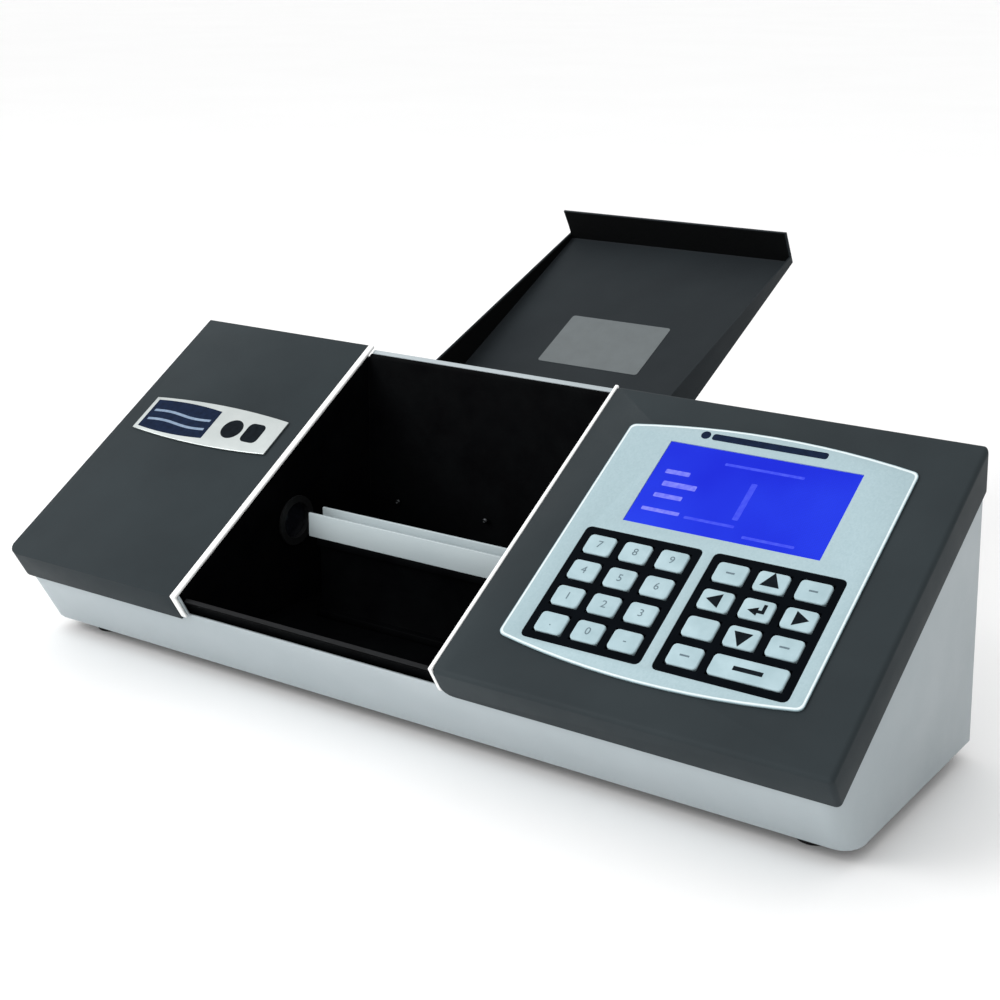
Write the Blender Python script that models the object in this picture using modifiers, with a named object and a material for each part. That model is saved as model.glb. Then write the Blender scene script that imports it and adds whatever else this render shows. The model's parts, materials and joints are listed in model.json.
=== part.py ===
"""Bench spectrophotometer for long glass cells, with its sample chamber's lid swung open.

Units are metres with +Z up and +X to the operator's right. The case is a wedge: its top slopes
up from a front crease, and its front face is square to that slope. The origin is on the bench,
under the centre of the whole instrument with its lid open.
"""
import math

import bmesh
import bpy
from mathutils import Vector

# Driving dimensions of the case. "Slope" sizes are measured up the sloping top from the crease.
CASE_WIDTH = 0.515
SLOPE = math.radians(31.3)
SLOPE_LENGTH = 0.2038
CREASE_HEIGHT = 0.056
BASE_HEIGHT = 0.008
SHEET = 0.002
COVER_SHEET = 0.0012
GAP = 0.0003
COVER_LIP = 0.0185
LIP_CORNER_RADIUS = 0.006
CASE_INSET = COVER_SHEET + 0.0004
CASE_CORNER_RADIUS = 0.010
COVER_CORNER_RADIUS = 0.008
PANEL_TOP = 0.150
CUT_MARGIN = 0.01

# The sample chamber between the two covers.
LEFT_COVER_END = 0.1296
RIGHT_COVER_START = 0.3055
CHAMBER_LEFT = 0.134
CHAMBER_RIGHT = 0.303
CHAMBER_FRONT = 0.0062
CHAMBER_REAR = 0.1685
CHAMBER_FLOOR = 0.022
CHAMBER_RIM = -0.0018
FRONT_RIM = -0.0075
FRONT_FOLD = 0.0036
REAR_FOLD = 0.1993
FRONT_NOTCH = -0.016
LINER_SHEET = 0.0015
TRIM_RISE = 0.0003
TRIM_DEPTH = -0.0014
TRIM_FOOT = -0.0165
TRIM_GAP = 0.0001
RAIL_LIP = 0.014
RAIL_WEB = 0.004

# The lid and its hinge, in slope coordinates.
LID_LEFT = 0.1345
LID_RIGHT = 0.3026
LID_SHEET = COVER_SHEET
LID_FRONT = -0.0008
LID_LIP = 0.0235
LID_FLANGE_FRONT = 0.005
LID_FLANGE_REAR = 0.022
LID_FLANGE_END = 0.176
LID_FLANGE_FOOT = 0.172
LID_SKIRT = 0.010
HINGE_S = 0.2072
HINGE_N = -0.0338
LID_END = HINGE_S + 0.0086
OPEN_ANGLE = math.radians(184.8)
PIN_RADIUS = 0.002
PIN_HOLE_RADIUS = 0.0023
KNUCKLE_RADIUS = 0.0055
ARM_THICKNESS = 0.008
ARM_FRONT = 0.004
EAR_ABOVE = 0.009
EAR_BELOW = 0.016
EAR_GAP = 0.001
ARM_LEFT = 0.166
BRACKET_THICKNESS = 0.006
PIN_OVERHANG = 0.003

# The light path runs along X through the ports and the cell trough.
BEAM_Y = 0.099
BEAM_Z = 0.073
PORT_RADIUS = 0.0125
PORT_FLANGE_RADIUS = 0.0145
PORT_BORE_RADIUS = 0.0105
PORT_FLANGE = 0.0012
PORT_BARREL = 0.006
TROUGH_LEFT = 0.150
TROUGH_RIGHT = 0.2985
TROUGH_WIDTH = 0.014
TROUGH_HEIGHT = 0.014
TROUGH_WALL = 0.0016
TROUGH_BOTTOM = BEAM_Z - 0.0048
SUPPORT_LEFT, SUPPORT_RIGHT = 0.156, 0.2945
SUPPORT_WEB = 0.004
SUPPORT_FLANGE = 0.009
SUPPORT_DEEP = 0.004

# The operator's panel on the right cover, in slope coordinates.
FASCIA_LEFT, FASCIA_RIGHT = 0.3275, 0.489
FASCIA_FRONT, FASCIA_BACK = 0.0295, 0.177
FASCIA_BULGE = 0.0075
FASCIA_THICKNESS = 0.0008
SCREEN_LEFT, SCREEN_RIGHT = 0.355, 0.463
SCREEN_FRONT, SCREEN_BACK = 0.1125, 0.170
NUMBER_LEFT, NUMBER_RIGHT = 0.339, 0.4055
FUNCTION_LEFT, FUNCTION_RIGHT = 0.4115, 0.4810
KEYS_FRONT, KEYS_BACK = 0.0312, 0.1046
FRAME_CORNER_RADIUS = 0.003
KEY_ROWS = 4
KEY_COLUMNS = 3
KEY_BAR = 0.0042
KEY_CLEARANCE = 0.0004
KEY_RADIUS = 0.0023
KEY_TOP = 0.0019
KEY_BOTTOM = -0.0042
FRAME_TOP = 0.0012
FRAME_BOTTOM = -0.0028

# The badge plate on the left cover.
BADGE_LEFT, BADGE_RIGHT = 0.0134, 0.1190
BADGE_FRONT, BADGE_BACK = 0.1057, 0.1322
BADGE_BULGE = 0.003
BADGE_THICKNESS = 0.0012

# The filter wheel turns beside the light path, behind the right-hand port.
WHEEL_Y = 0.125
WHEEL_Z = 0.060
WHEEL_RADIUS = 0.036
WHEEL_X = 0.320
WHEEL_THICKNESS = 0.004
HUB_RADIUS = 0.008
RIM_THICKNESS = 0.0022
FILTER_COUNT = 16
FILTER_RADIUS = 0.004
MOTOR_EDGE = 0.002
LAMP_BORE_RADIUS = 0.010
LAMP_BORE = (0.060, 0.130)

# Low and high corners of the plain boxes inside the case.
LAMP_HOUSE = ((0.040, 0.075, 0.043), (0.122, 0.123, 0.099))
FILTER_MOTOR = ((0.3243, 0.111, 0.046), (0.352, 0.139, 0.074))
DETECTOR = ((0.326, 0.090, 0.063), (0.344, 0.108, 0.083))
MAIN_BOARD = ((0.370, 0.060, 0.022), (0.500, 0.155, 0.0236))
KEY_BOARD = ((0.335, 0.0272, -0.0085), (0.485, 0.1066, -0.0069))

# Rear panel fittings: centre x, centre z, width and height of each opening.
INLET = (0.452, 0.060, 0.0276, 0.0204)
SWITCH = (0.416, 0.060, 0.0136, 0.0196)
DATA_SOCKET = (0.372, 0.060, 0.0190, 0.0110)
INLET_DEPTH, INLET_WALL = 0.016, 0.0032
DATA_DEPTH, DATA_WALL = 0.010, 0.0024
SOCKET_FLANGE = 0.003
ROCKER_REACH = 0.0045
ROCKER_CLEARANCE = 0.0006
ROCKER_TILT = math.radians(6)

FOOT_RADIUS = 0.009
FOOT_INSET_X = 0.030
FOOT_FRONT_Y = 0.052
FOOT_REAR_Y = 0.150


def slope_to_case(s, n):
    """Case (y, z) of a point s up the slope and n out of its surface."""
    y = s * math.cos(SLOPE) - n * math.sin(SLOPE)
    z = CREASE_HEIGHT + s * math.sin(SLOPE) + n * math.cos(SLOPE)
    return y, z


def slope_at_y(y, n):
    """Distance up the slope where the surface offset by n reaches depth y."""
    return (y + n * math.sin(SLOPE)) / math.cos(SLOPE)


def on_surface(y, n):
    """Case (y, z) of the point at depth y on the surface offset by n."""
    return slope_to_case(slope_at_y(y, n), n)


def slope_at_height(s, z):
    """Offset n where the line square to the slope at s reaches height z."""
    return (z - CREASE_HEIGHT - s * math.sin(SLOPE)) / math.cos(SLOPE)


CASE_REAR, CASE_TOP = slope_to_case(SLOPE_LENGTH, 0)
PANEL_REAR = CASE_REAR - CASE_INSET
HINGE_Y, HINGE_Z = slope_to_case(HINGE_S, HINGE_N)


def open_lid_depth():
    """Case depth y of the rearmost corner of the lid when it is open."""
    corner_s = LID_FRONT - HINGE_S
    lip_n = -HINGE_N
    depths = []
    for n in (lip_n, lip_n - LID_LIP):
        turned = Vector((corner_s, n))
        angle = SLOPE - OPEN_ANGLE
        depths.append(HINGE_Y + turned.x * math.cos(angle) - turned.y * math.sin(angle))
    return max(depths)


FOOTPRINT_MIDDLE = open_lid_depth() / 2


def clear_scene():
    """Remove everything that a new Blender file holds."""
    for obj in list(bpy.data.objects):
        bpy.data.objects.remove(obj, do_unlink=True)


def new_collection(name):
    """A collection linked to the scene."""
    collection = bpy.data.collections.new(name)
    bpy.context.scene.collection.children.link(collection)
    return collection


def new_material(name, color, roughness, metallic=0.0):
    """A plain Principled material."""
    material = bpy.data.materials.new(name)
    material.use_nodes = True
    shader = material.node_tree.nodes["Principled BSDF"]
    shader.inputs["Base Color"].default_value = (*color, 1.0)
    shader.inputs["Roughness"].default_value = roughness
    shader.inputs["Metallic"].default_value = metallic
    return material


clear_scene()
PARTS = new_collection("spectrophotometer")
CUTTERS = new_collection("cutters")

LIGHT_PAINT = new_material("light_paint", (0.38, 0.42, 0.43), 0.45)
TRIM_PAINT = new_material("trim_paint", (0.78, 0.79, 0.78), 0.4)
DARK_PAINT = new_material("dark_paint", (0.045, 0.052, 0.055), 0.5)
BLACK_PAINT = new_material("black_paint", (0.008, 0.008, 0.009), 0.6)
TROUGH_COAT = new_material("trough_coat", (0.45, 0.50, 0.51), 0.4)
FASCIA_FILM = new_material("fascia_film", (0.46, 0.54, 0.56), 0.35, 0.3)
KEY_RUBBER = new_material("key_rubber", (0.50, 0.56, 0.58), 0.6)
FRAME_PLASTIC = new_material("frame_plastic", (0.006, 0.008, 0.010), 0.5)
SCREEN_GLASS = new_material("screen_glass", (0.015, 0.035, 0.75), 0.15)
BADGE_METAL = new_material("badge_metal", (0.60, 0.62, 0.64), 0.3, 0.6)
STEEL = new_material("steel", (0.55, 0.55, 0.56), 0.3, 1.0)
BLACK_PLASTIC = new_material("black_plastic", (0.012, 0.012, 0.013), 0.4)
FOOT_RUBBER = new_material("foot_rubber", (0.010, 0.010, 0.010), 0.8)
BOARD_LAMINATE = new_material("board_laminate", (0.02, 0.16, 0.06), 0.5)


def new_empty(name, parent, location=(0, 0, 0), turn_x=0.0):
    """An empty that carries a group of parts."""
    empty = bpy.data.objects.new(name, None)
    PARTS.objects.link(empty)
    empty.parent = parent
    empty.location = location
    empty.rotation_euler = (turn_x, 0, 0)
    return empty


CASE_FRAME = new_empty("case_frame", None, (-CASE_WIDTH / 2, -FOOTPRINT_MIDDLE, 0))
SLOPE_FRAME = new_empty("slope_frame", CASE_FRAME, (0, 0, CREASE_HEIGHT), SLOPE)
LID_FRAME = new_empty("lid_frame", SLOPE_FRAME, (0, HINGE_S, HINGE_N), -OPEN_ANGLE)


def add_object(name, data, material, parent, location=(0, 0, 0), rotation=(0, 0, 0)):
    """Link a mesh or curve as one named part, or as a cutter when it has no material."""
    obj = bpy.data.objects.new(name, data)
    if material is None:
        CUTTERS.objects.link(obj)
        obj.display_type = "WIRE"
        obj.hide_render = True
    else:
        PARTS.objects.link(obj)
        data.materials.append(material)
    obj.parent = parent
    obj.location = location
    obj.rotation_euler = rotation
    return obj


def mesh_from(name, shape):
    """Turn an edit mesh into mesh data."""
    mesh = bpy.data.meshes.new(name)
    shape.to_mesh(mesh)
    shape.free()
    return mesh


def add_bevel(obj, width, segments=2, angle=math.radians(40)):
    """Round the sharp edges of an object."""
    bevel = obj.modifiers.new("rounded_edges", "BEVEL")
    bevel.width = width
    bevel.segments = segments
    bevel.limit_method = "ANGLE"
    bevel.angle_limit = angle
    return bevel


def add_sheet(obj, thickness, offset=-1):
    """Give an open surface the thickness of its sheet."""
    solidify = obj.modifiers.new("sheet", "SOLIDIFY")
    solidify.solidify_mode = "NON_MANIFOLD"
    solidify.nonmanifold_thickness_mode = "CONSTRAINTS"
    solidify.thickness = thickness
    solidify.offset = offset
    return solidify


def cut(obj, cutter):
    """Take a cutter's shape out of an object."""
    boolean = obj.modifiers.new("cut_" + cutter.name, "BOOLEAN")
    boolean.operation = "DIFFERENCE"
    boolean.solver = "EXACT"
    boolean.object = cutter
    return boolean


def box(name, low, high, material, parent, bevel=0.0):
    """A box between two corners, with its origin at its centre."""
    size = Vector(high) - Vector(low)
    centre = (Vector(high) + Vector(low)) / 2
    shape = bmesh.new()
    bmesh.ops.create_cube(shape, size=1.0)
    bmesh.ops.scale(shape, vec=size, verts=shape.verts)
    obj = add_object(name, mesh_from(name, shape), material, parent, centre)
    if bevel:
        add_bevel(obj, bevel)
    return obj


def rod_x(name, radius, start_x, end_x, centre, material, parent, segments=24):
    """A round bar along X whose origin is the middle of its axis."""
    shape = bmesh.new()
    bmesh.ops.create_cone(shape, cap_ends=True, segments=segments, radius1=radius,
                          radius2=radius, depth=end_x - start_x)
    location = ((start_x + end_x) / 2, *centre)
    rod = add_object(name, mesh_from(name, shape), material, parent, location, (0, math.pi / 2, 0))
    rod.data.set_sharp_from_angle(angle=math.radians(40))
    return rod


def outline_curve(name, outlines, thickness):
    """Flat outlines filled and extruded to a thickness; later outlines are holes."""
    curve = bpy.data.curves.new(name, "CURVE")
    curve.dimensions = "2D"
    curve.fill_mode = "BOTH"
    curve.extrude = thickness / 2
    for points in outlines:
        spline = curve.splines.new("POLY")
        spline.points.add(len(points) - 1)
        for point, (x, y) in zip(spline.points, points):
            point.co = (x, y, 0, 1)
        spline.use_cyclic_u = True
    return curve


def plate_across(name, outlines, start_x, end_x, material, parent):
    """A plate whose outline lies in the parent's YZ plane and whose thickness runs along X."""
    curve = outline_curve(name, outlines, end_x - start_x)
    turn = (math.pi / 2, 0, math.pi / 2)
    return add_object(name, curve, material, parent, ((start_x + end_x) / 2, 0, 0), turn)


def turned_along_x(name, profile, material, parent, location, steps=32):
    """A turned part: profile holds (radius, height) from top to bottom, and its axis lies on X."""
    mesh = bpy.data.meshes.new(name)
    points = [(radius, 0, height) for radius, height in profile]
    edges = [(index, (index + 1) % len(points)) for index in range(len(points))]
    if profile[0][0] == 0:
        edges.pop()
    mesh.from_pydata(points, edges, [])
    obj = add_object(name, mesh, material, parent, location, (0, math.pi / 2, 0))
    screw = obj.modifiers.new("turned", "SCREW")
    screw.axis = "Z"
    screw.steps = steps
    screw.render_steps = steps
    screw.use_merge_vertices = True
    screw.merge_threshold = 0.00001
    screw.use_smooth_shade = True
    return obj


def arc(centre, radius, start, end, steps):
    """Points on an arc, with its angles in degrees."""
    points = []
    for step in range(steps + 1):
        angle = math.radians(start + (end - start) * step / steps)
        points.append((centre[0] + radius * math.cos(angle), centre[1] + radius * math.sin(angle)))
    return points


def circle(centre, radius, steps=20):
    """Points once around a circle."""
    return arc(centre, radius, 0, 360, steps)[:-1]


def bulged_outline(left, right, front, back, bulge, steps=12):
    """A rectangle whose front and back edges bow outwards."""
    half = (right - left) / 2
    radius = (half * half + bulge * bulge) / (2 * bulge)
    reach = math.degrees(math.asin(half / radius))
    middle = (left + right) / 2
    front_arc = arc((middle, front - bulge + radius), radius, 270 - reach, 270 + reach, steps)
    back_arc = arc((middle, back + bulge - radius), radius, 90 - reach, 90 + reach, steps)
    return front_arc + back_arc


def rectangle(left, right, front, back):
    """The corners of a rectangle."""
    return [(left, front), (right, front), (right, back), (left, back)]


def rounded_rectangle(left, right, front, back, radius, steps=3):
    """A rectangle with rounded corners."""
    near, far = front + radius, back - radius
    start, end = left + radius, right - radius
    return (arc((start, near), radius, 180, 270, steps) + arc((end, near), radius, 270, 360, steps)
            + arc((end, far), radius, 0, 90, steps) + arc((start, far), radius, 90, 180, steps))


def build_case():
    """Formed front and cheeks: one light sheet wrapped round three sides of the wedge."""
    top_front = slope_to_case(CASE_INSET, -CASE_INSET)
    bottom_front = slope_to_case(CASE_INSET, slope_at_height(CASE_INSET, BASE_HEIGHT))
    top_rear = on_surface(PANEL_REAR, -CASE_INSET)
    cheek = [top_front, bottom_front, (PANEL_REAR, BASE_HEIGHT), top_rear]
    shape = bmesh.new()
    left = [shape.verts.new((CASE_INSET, y, z)) for y, z in cheek]
    right = [shape.verts.new((CASE_WIDTH - CASE_INSET, y, z)) for y, z in cheek]
    shape.faces.new(reversed(left))
    shape.faces.new(right)
    front = shape.faces.new((left[0], left[1], right[1], right[0]))
    bmesh.ops.recalc_face_normals(shape, faces=shape.faces)
    if front.normal.y > 0:
        bmesh.ops.reverse_faces(shape, faces=shape.faces)
    corners = [edge for edge in shape.edges if len(edge.link_faces) == 2]
    bmesh.ops.bevel(shape, geom=corners, offset=CASE_CORNER_RADIUS, segments=4, profile=0.5,
                    affect="EDGES")
    case = add_object("case_shell", mesh_from("case_shell", shape), LIGHT_PAINT, CASE_FRAME)
    add_sheet(case, SHEET)
    cut(case, box("cut_front", (CHAMBER_LEFT - TRIM_GAP, -CUT_MARGIN, FRONT_NOTCH),
                  (CHAMBER_RIGHT + TRIM_GAP, CUT_MARGIN, CUT_MARGIN), None, SLOPE_FRAME))


def build_base():
    """Base plate inside the wrapped sheet, on four rubber feet."""
    front = slope_to_case(CASE_INSET, slope_at_height(CASE_INSET, BASE_HEIGHT))[0]
    inner = CASE_INSET + SHEET + GAP
    low = (inner, front + SHEET / math.cos(SLOPE) + GAP, BASE_HEIGHT)
    high = (CASE_WIDTH - inner, PANEL_REAR, BASE_HEIGHT + SHEET)
    corner = CASE_CORNER_RADIUS
    outline = [(low[0], low[1] + corner), (low[0] + corner, low[1]),
               (high[0] - corner, low[1]), (high[0], low[1] + corner),
               (high[0], high[1]), (low[0], high[1])]
    curve = outline_curve("base_plate", [outline], SHEET)
    add_object("base_plate", curve, BLACK_PAINT, CASE_FRAME, (0, 0, BASE_HEIGHT + SHEET / 2))
    for side, x in (("left", FOOT_INSET_X), ("right", CASE_WIDTH - FOOT_INSET_X)):
        for end, y in (("front", FOOT_FRONT_Y), ("rear", FOOT_REAR_Y)):
            build_foot("foot_" + end + "_" + side, (x, y))


def build_foot(name, place):
    """A round rubber foot, slightly wider at its base."""
    height = BASE_HEIGHT - GAP
    shape = bmesh.new()
    bmesh.ops.create_cone(shape, cap_ends=True, segments=24, radius1=FOOT_RADIUS,
                          radius2=FOOT_RADIUS * 0.85, depth=height)
    add_object(name, mesh_from(name, shape), FOOT_RUBBER, CASE_FRAME, (*place, height / 2))


def build_rear_panel():
    """Rear panel with openings for the power inlet, the switch and the data socket."""
    inner = CASE_INSET + SHEET + GAP
    low = (inner, PANEL_REAR - SHEET, BASE_HEIGHT + SHEET + GAP)
    high = (CASE_WIDTH - inner, PANEL_REAR, PANEL_TOP)
    panel = box("rear_panel", low, high, LIGHT_PAINT, CASE_FRAME)
    for label, (x, z, width, height) in (("inlet", INLET), ("switch", SWITCH), ("data", DATA_SOCKET)):
        cutter = box("cut_" + label, (x - width / 2, PANEL_REAR - CUT_MARGIN, z - height / 2),
                     (x + width / 2, PANEL_REAR + CUT_MARGIN, z + height / 2), None, CASE_FRAME)
        cut(panel, cutter)


def build_rear_fittings():
    """Power inlet, rocker switch and data socket, each with a flange outside the panel."""
    build_socket("power_inlet", INLET, INLET_DEPTH, INLET_WALL)
    build_socket("data_socket", DATA_SOCKET, DATA_DEPTH, DATA_WALL)
    x, z, width, height = SWITCH
    reach = ROCKER_REACH
    clear = ROCKER_CLEARANCE
    low = (x - width / 2 + clear, PANEL_REAR - SHEET / 2 - reach, z - height / 2 + clear)
    high = (x + width / 2 - clear, PANEL_REAR - SHEET / 2 + reach, z + height / 2 - clear)
    rocker = box("power_switch", low, high, BLACK_PLASTIC, CASE_FRAME, 0.0008)
    rocker.rotation_euler.x = -ROCKER_TILT


def build_socket(name, opening, depth, wall):
    """A connector shell: flange outside the panel, body through it, and an open mouth."""
    x, z, width, height = opening
    flange = SOCKET_FLANGE
    back = PANEL_REAR + GAP
    body = bmesh.new()
    bmesh.ops.create_cube(body, size=1.0)
    bmesh.ops.scale(body, vec=(width + 2 * flange, SHEET, height + 2 * flange), verts=body.verts)
    inner = [face for face in body.faces if face.normal.y < -0.5]
    bmesh.ops.inset_region(body, faces=inner, thickness=flange + GAP, use_even_offset=True)
    stem = bmesh.ops.extrude_discrete_faces(body, faces=inner)["faces"]
    bmesh.ops.translate(body, vec=(0, -depth, 0), verts=list({v for f in stem for v in f.verts}))
    outer = [face for face in body.faces if face.normal.y > 0.5]
    bmesh.ops.inset_region(body, faces=outer, thickness=flange + wall, use_even_offset=True)
    mouth = bmesh.ops.extrude_discrete_faces(body, faces=outer)["faces"]
    bmesh.ops.translate(body, vec=(0, -depth, 0), verts=list({v for f in mouth for v in f.verts}))
    bmesh.ops.remove_doubles(body, verts=body.verts, dist=0.00001)
    location = (x, back + SHEET / 2, z)
    add_object(name, mesh_from(name, body), BLACK_PLASTIC, CASE_FRAME, location)


def build_cover(name, outline, chamber_x, corner_radius):
    """Sheet cover with a lip folded down on every side but the one beside the chamber.

    The front lip's lower corner beside the chamber is rounded to corner_radius.
    """
    shape = bmesh.new()
    shape.faces.new([shape.verts.new((x, s, 0)) for x, s in outline])
    rear = [edge for edge in shape.edges if min(v.co.y for v in edge.verts) > SLOPE_LENGTH - GAP]
    open_side = [edge for edge in shape.edges
                 if all(abs(v.co.x - chamber_x) < GAP for v in edge.verts)]
    folded = [edge for edge in shape.edges if edge not in rear + open_side]
    drop_edges(shape, folded, Vector((0, 0, -COVER_LIP)))
    drop_edges(shape, rear, Vector((0, -math.tan(SLOPE), -1)) * COVER_LIP)
    for vert in shape.verts:
        if vert.co.z < -GAP and vert.co.y > SLOPE_LENGTH - GAP:
            vert.co.y = slope_at_y(CASE_REAR, -COVER_LIP)
    bmesh.ops.remove_doubles(shape, verts=shape.verts, dist=GAP / 2)
    if corner_radius:
        corner = [vert for vert in shape.verts if vert.co.z < -GAP and vert.co.y < GAP
                  and abs(vert.co.x - chamber_x) < GAP]
        bmesh.ops.bevel(shape, geom=corner, offset=corner_radius, segments=4, profile=0.5,
                        affect="VERTICES")
    face_outwards(shape)
    cover = add_object(name, mesh_from(name, shape), DARK_PAINT, SLOPE_FRAME)
    add_sheet(cover, COVER_SHEET)
    return cover


def drop_edges(shape, edges, shift):
    """Fold a lip from the given edges."""
    made = bmesh.ops.extrude_edge_only(shape, edges=edges)["geom"]
    verts = [item for item in made if isinstance(item, bmesh.types.BMVert)]
    bmesh.ops.translate(shape, vec=shift, verts=verts)


def face_outwards(shape):
    """Make the normals agree, with the largest face looking along +Z."""
    bmesh.ops.recalc_face_normals(shape, faces=shape.faces)
    largest = max(shape.faces, key=lambda face: face.calc_area())
    if largest.normal.z < 0:
        bmesh.ops.reverse_faces(shape, faces=shape.faces)


def build_covers():
    """The plain left cover, and the right cover with openings under the operator's panel."""
    radius = COVER_CORNER_RADIUS
    left_outline = arc((radius, radius), radius, 180, 270, 6)
    left_outline += [(LEFT_COVER_END, 0), (LEFT_COVER_END, SLOPE_LENGTH), (0, SLOPE_LENGTH)]
    build_cover("left_cover", left_outline, LEFT_COVER_END, 0)
    right_outline = rectangle(RIGHT_COVER_START, CASE_WIDTH, 0, SLOPE_LENGTH)
    right = build_cover("right_cover", right_outline, RIGHT_COVER_START, LIP_CORNER_RADIUS)
    openings = (("screen", SCREEN_LEFT, SCREEN_RIGHT, SCREEN_FRONT, SCREEN_BACK),
                ("numbers", NUMBER_LEFT, NUMBER_RIGHT, KEYS_FRONT, KEYS_BACK),
                ("functions", FUNCTION_LEFT, FUNCTION_RIGHT, KEYS_FRONT, KEYS_BACK))
    for label, left, end, front, back in openings:
        cutter = box("cut_" + label, (left - GAP, front - GAP, -CUT_MARGIN),
                     (end + GAP, back + GAP, CUT_MARGIN), None, SLOPE_FRAME)
        cut(right, cutter)


def build_trims():
    """Pale angle strips on both long edges of the chamber, and the rail across its rear."""
    strip = [(0, TRIM_RISE), (SLOPE_LENGTH, TRIM_RISE), (SLOPE_LENGTH, TRIM_DEPTH),
             (-TRIM_DEPTH, TRIM_DEPTH), (-TRIM_DEPTH, TRIM_FOOT), (0, TRIM_FOOT)]
    plate_across("trim_left", [strip], LEFT_COVER_END + GAP, CHAMBER_LEFT - TRIM_GAP,
                 TRIM_PAINT, SLOPE_FRAME)
    plate_across("trim_right", [strip], CHAMBER_RIGHT + TRIM_GAP, RIGHT_COVER_START - GAP,
                 TRIM_PAINT, SLOPE_FRAME)
    front = CHAMBER_REAR + LINER_SHEET + GAP
    step = REAR_FOLD + GAP
    under_fold = CHAMBER_RIM - LINER_SHEET - GAP
    web = on_surface(front, CHAMBER_RIM)[1] - RAIL_WEB
    lip = CASE_REAR - COVER_SHEET
    foot = CASE_TOP - RAIL_LIP
    rail = [(front, web), (lip, web), (lip, foot), (CASE_REAR, foot),
            on_surface(CASE_REAR, CHAMBER_RIM), slope_to_case(step, CHAMBER_RIM),
            slope_to_case(step, under_fold), on_surface(front, under_fold)]
    plate_across("rear_rail", [rail], CHAMBER_LEFT + GAP, CHAMBER_RIGHT - GAP, LIGHT_PAINT, CASE_FRAME)


def build_chamber():
    """Black open-topped tray that lines the sample chamber, with a port in each side wall.

    Its front wall stops short and folds forwards; its rear wall folds back over the rail.
    """
    side_front = slope_to_case(CHAMBER_FRONT, CHAMBER_RIM)
    front_rim = slope_to_case(CHAMBER_FRONT, FRONT_RIM)
    front_foot = slope_to_case(CHAMBER_FRONT, slope_at_height(CHAMBER_FRONT, CHAMBER_FLOOR))
    rear_rim = on_surface(CHAMBER_REAR, CHAMBER_RIM)
    section = [side_front, front_rim, front_foot, (CHAMBER_REAR, CHAMBER_FLOOR), rear_rim,
               slope_to_case(FRONT_FOLD, FRONT_RIM), slope_to_case(REAR_FOLD, CHAMBER_RIM)]
    shape = bmesh.new()
    left = [shape.verts.new((CHAMBER_LEFT, y, z)) for y, z in section]
    right = [shape.verts.new((CHAMBER_RIGHT, y, z)) for y, z in section]
    shape.faces.new(left[:5])
    shape.faces.new(right[:5])
    for first, second in ((5, 1), (1, 2), (2, 3), (3, 4), (4, 6)):
        shape.faces.new((left[first], left[second], right[second], right[first]))
    bmesh.ops.recalc_face_normals(shape, faces=shape.faces)
    floor = min(shape.faces, key=lambda face: face.calc_center_median().z)
    if floor.normal.z > 0:
        bmesh.ops.reverse_faces(shape, faces=shape.faces)
    liner = add_object("chamber_liner", mesh_from("chamber_liner", shape), BLACK_PAINT, CASE_FRAME)
    add_sheet(liner, LINER_SHEET, 1)
    beam = (BEAM_Y, BEAM_Z)
    for label, x in (("left", CHAMBER_LEFT), ("right", CHAMBER_RIGHT)):
        cut(liner, rod_x("cut_port_" + label, PORT_RADIUS + GAP, x - CUT_MARGIN, x + CUT_MARGIN, beam,
                         None, CASE_FRAME, 32))


def build_ports():
    """A flanged ring in each side wall, through which the light enters and leaves."""
    profile = [(PORT_BORE_RADIUS, PORT_FLANGE), (PORT_FLANGE_RADIUS, PORT_FLANGE),
               (PORT_FLANGE_RADIUS, 0), (PORT_RADIUS, 0), (PORT_RADIUS, -PORT_BARREL),
               (PORT_BORE_RADIUS, -PORT_BARREL)]
    turned_along_x("port_ring_left", profile, BLACK_PLASTIC, CASE_FRAME,
                   (CHAMBER_LEFT + GAP, BEAM_Y, BEAM_Z))
    right = turned_along_x("port_ring_right", profile, BLACK_PLASTIC, CASE_FRAME,
                           (CHAMBER_RIGHT - GAP, BEAM_Y, BEAM_Z))
    right.rotation_euler = (0, -math.pi / 2, 0)


def build_cell_holder():
    """Open-ended trough for a long cell, and the beam on the chamber floor that carries it."""
    half = TROUGH_WIDTH / 2
    top = TROUGH_BOTTOM + TROUGH_HEIGHT
    inner = half - TROUGH_WALL
    floor = TROUGH_BOTTOM + TROUGH_WALL
    channel = [(-half, TROUGH_BOTTOM), (half, TROUGH_BOTTOM), (half, top), (inner, top),
               (inner, floor), (-inner, floor), (-inner, top), (-half, top)]
    section = [(BEAM_Y + y, z) for y, z in channel]
    plate_across("cell_trough", [section], TROUGH_LEFT, TROUGH_RIGHT, TROUGH_COAT, CASE_FRAME)
    seat = TROUGH_BOTTOM - GAP
    foot = CHAMBER_FLOOR + GAP
    web, flange, deep = SUPPORT_WEB, SUPPORT_FLANGE, SUPPORT_DEEP
    beam = [(-flange, foot), (flange, foot), (flange, foot + deep), (web, foot + deep),
            (web, seat - deep), (half, seat - deep), (half, seat), (-half, seat),
            (-half, seat - deep), (-web, seat - deep), (-web, foot + deep), (-flange, foot + deep)]
    section = [(BEAM_Y + y, z) for y, z in beam]
    plate_across("trough_support", [section], SUPPORT_LEFT, SUPPORT_RIGHT, BLACK_PAINT, CASE_FRAME)


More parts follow.
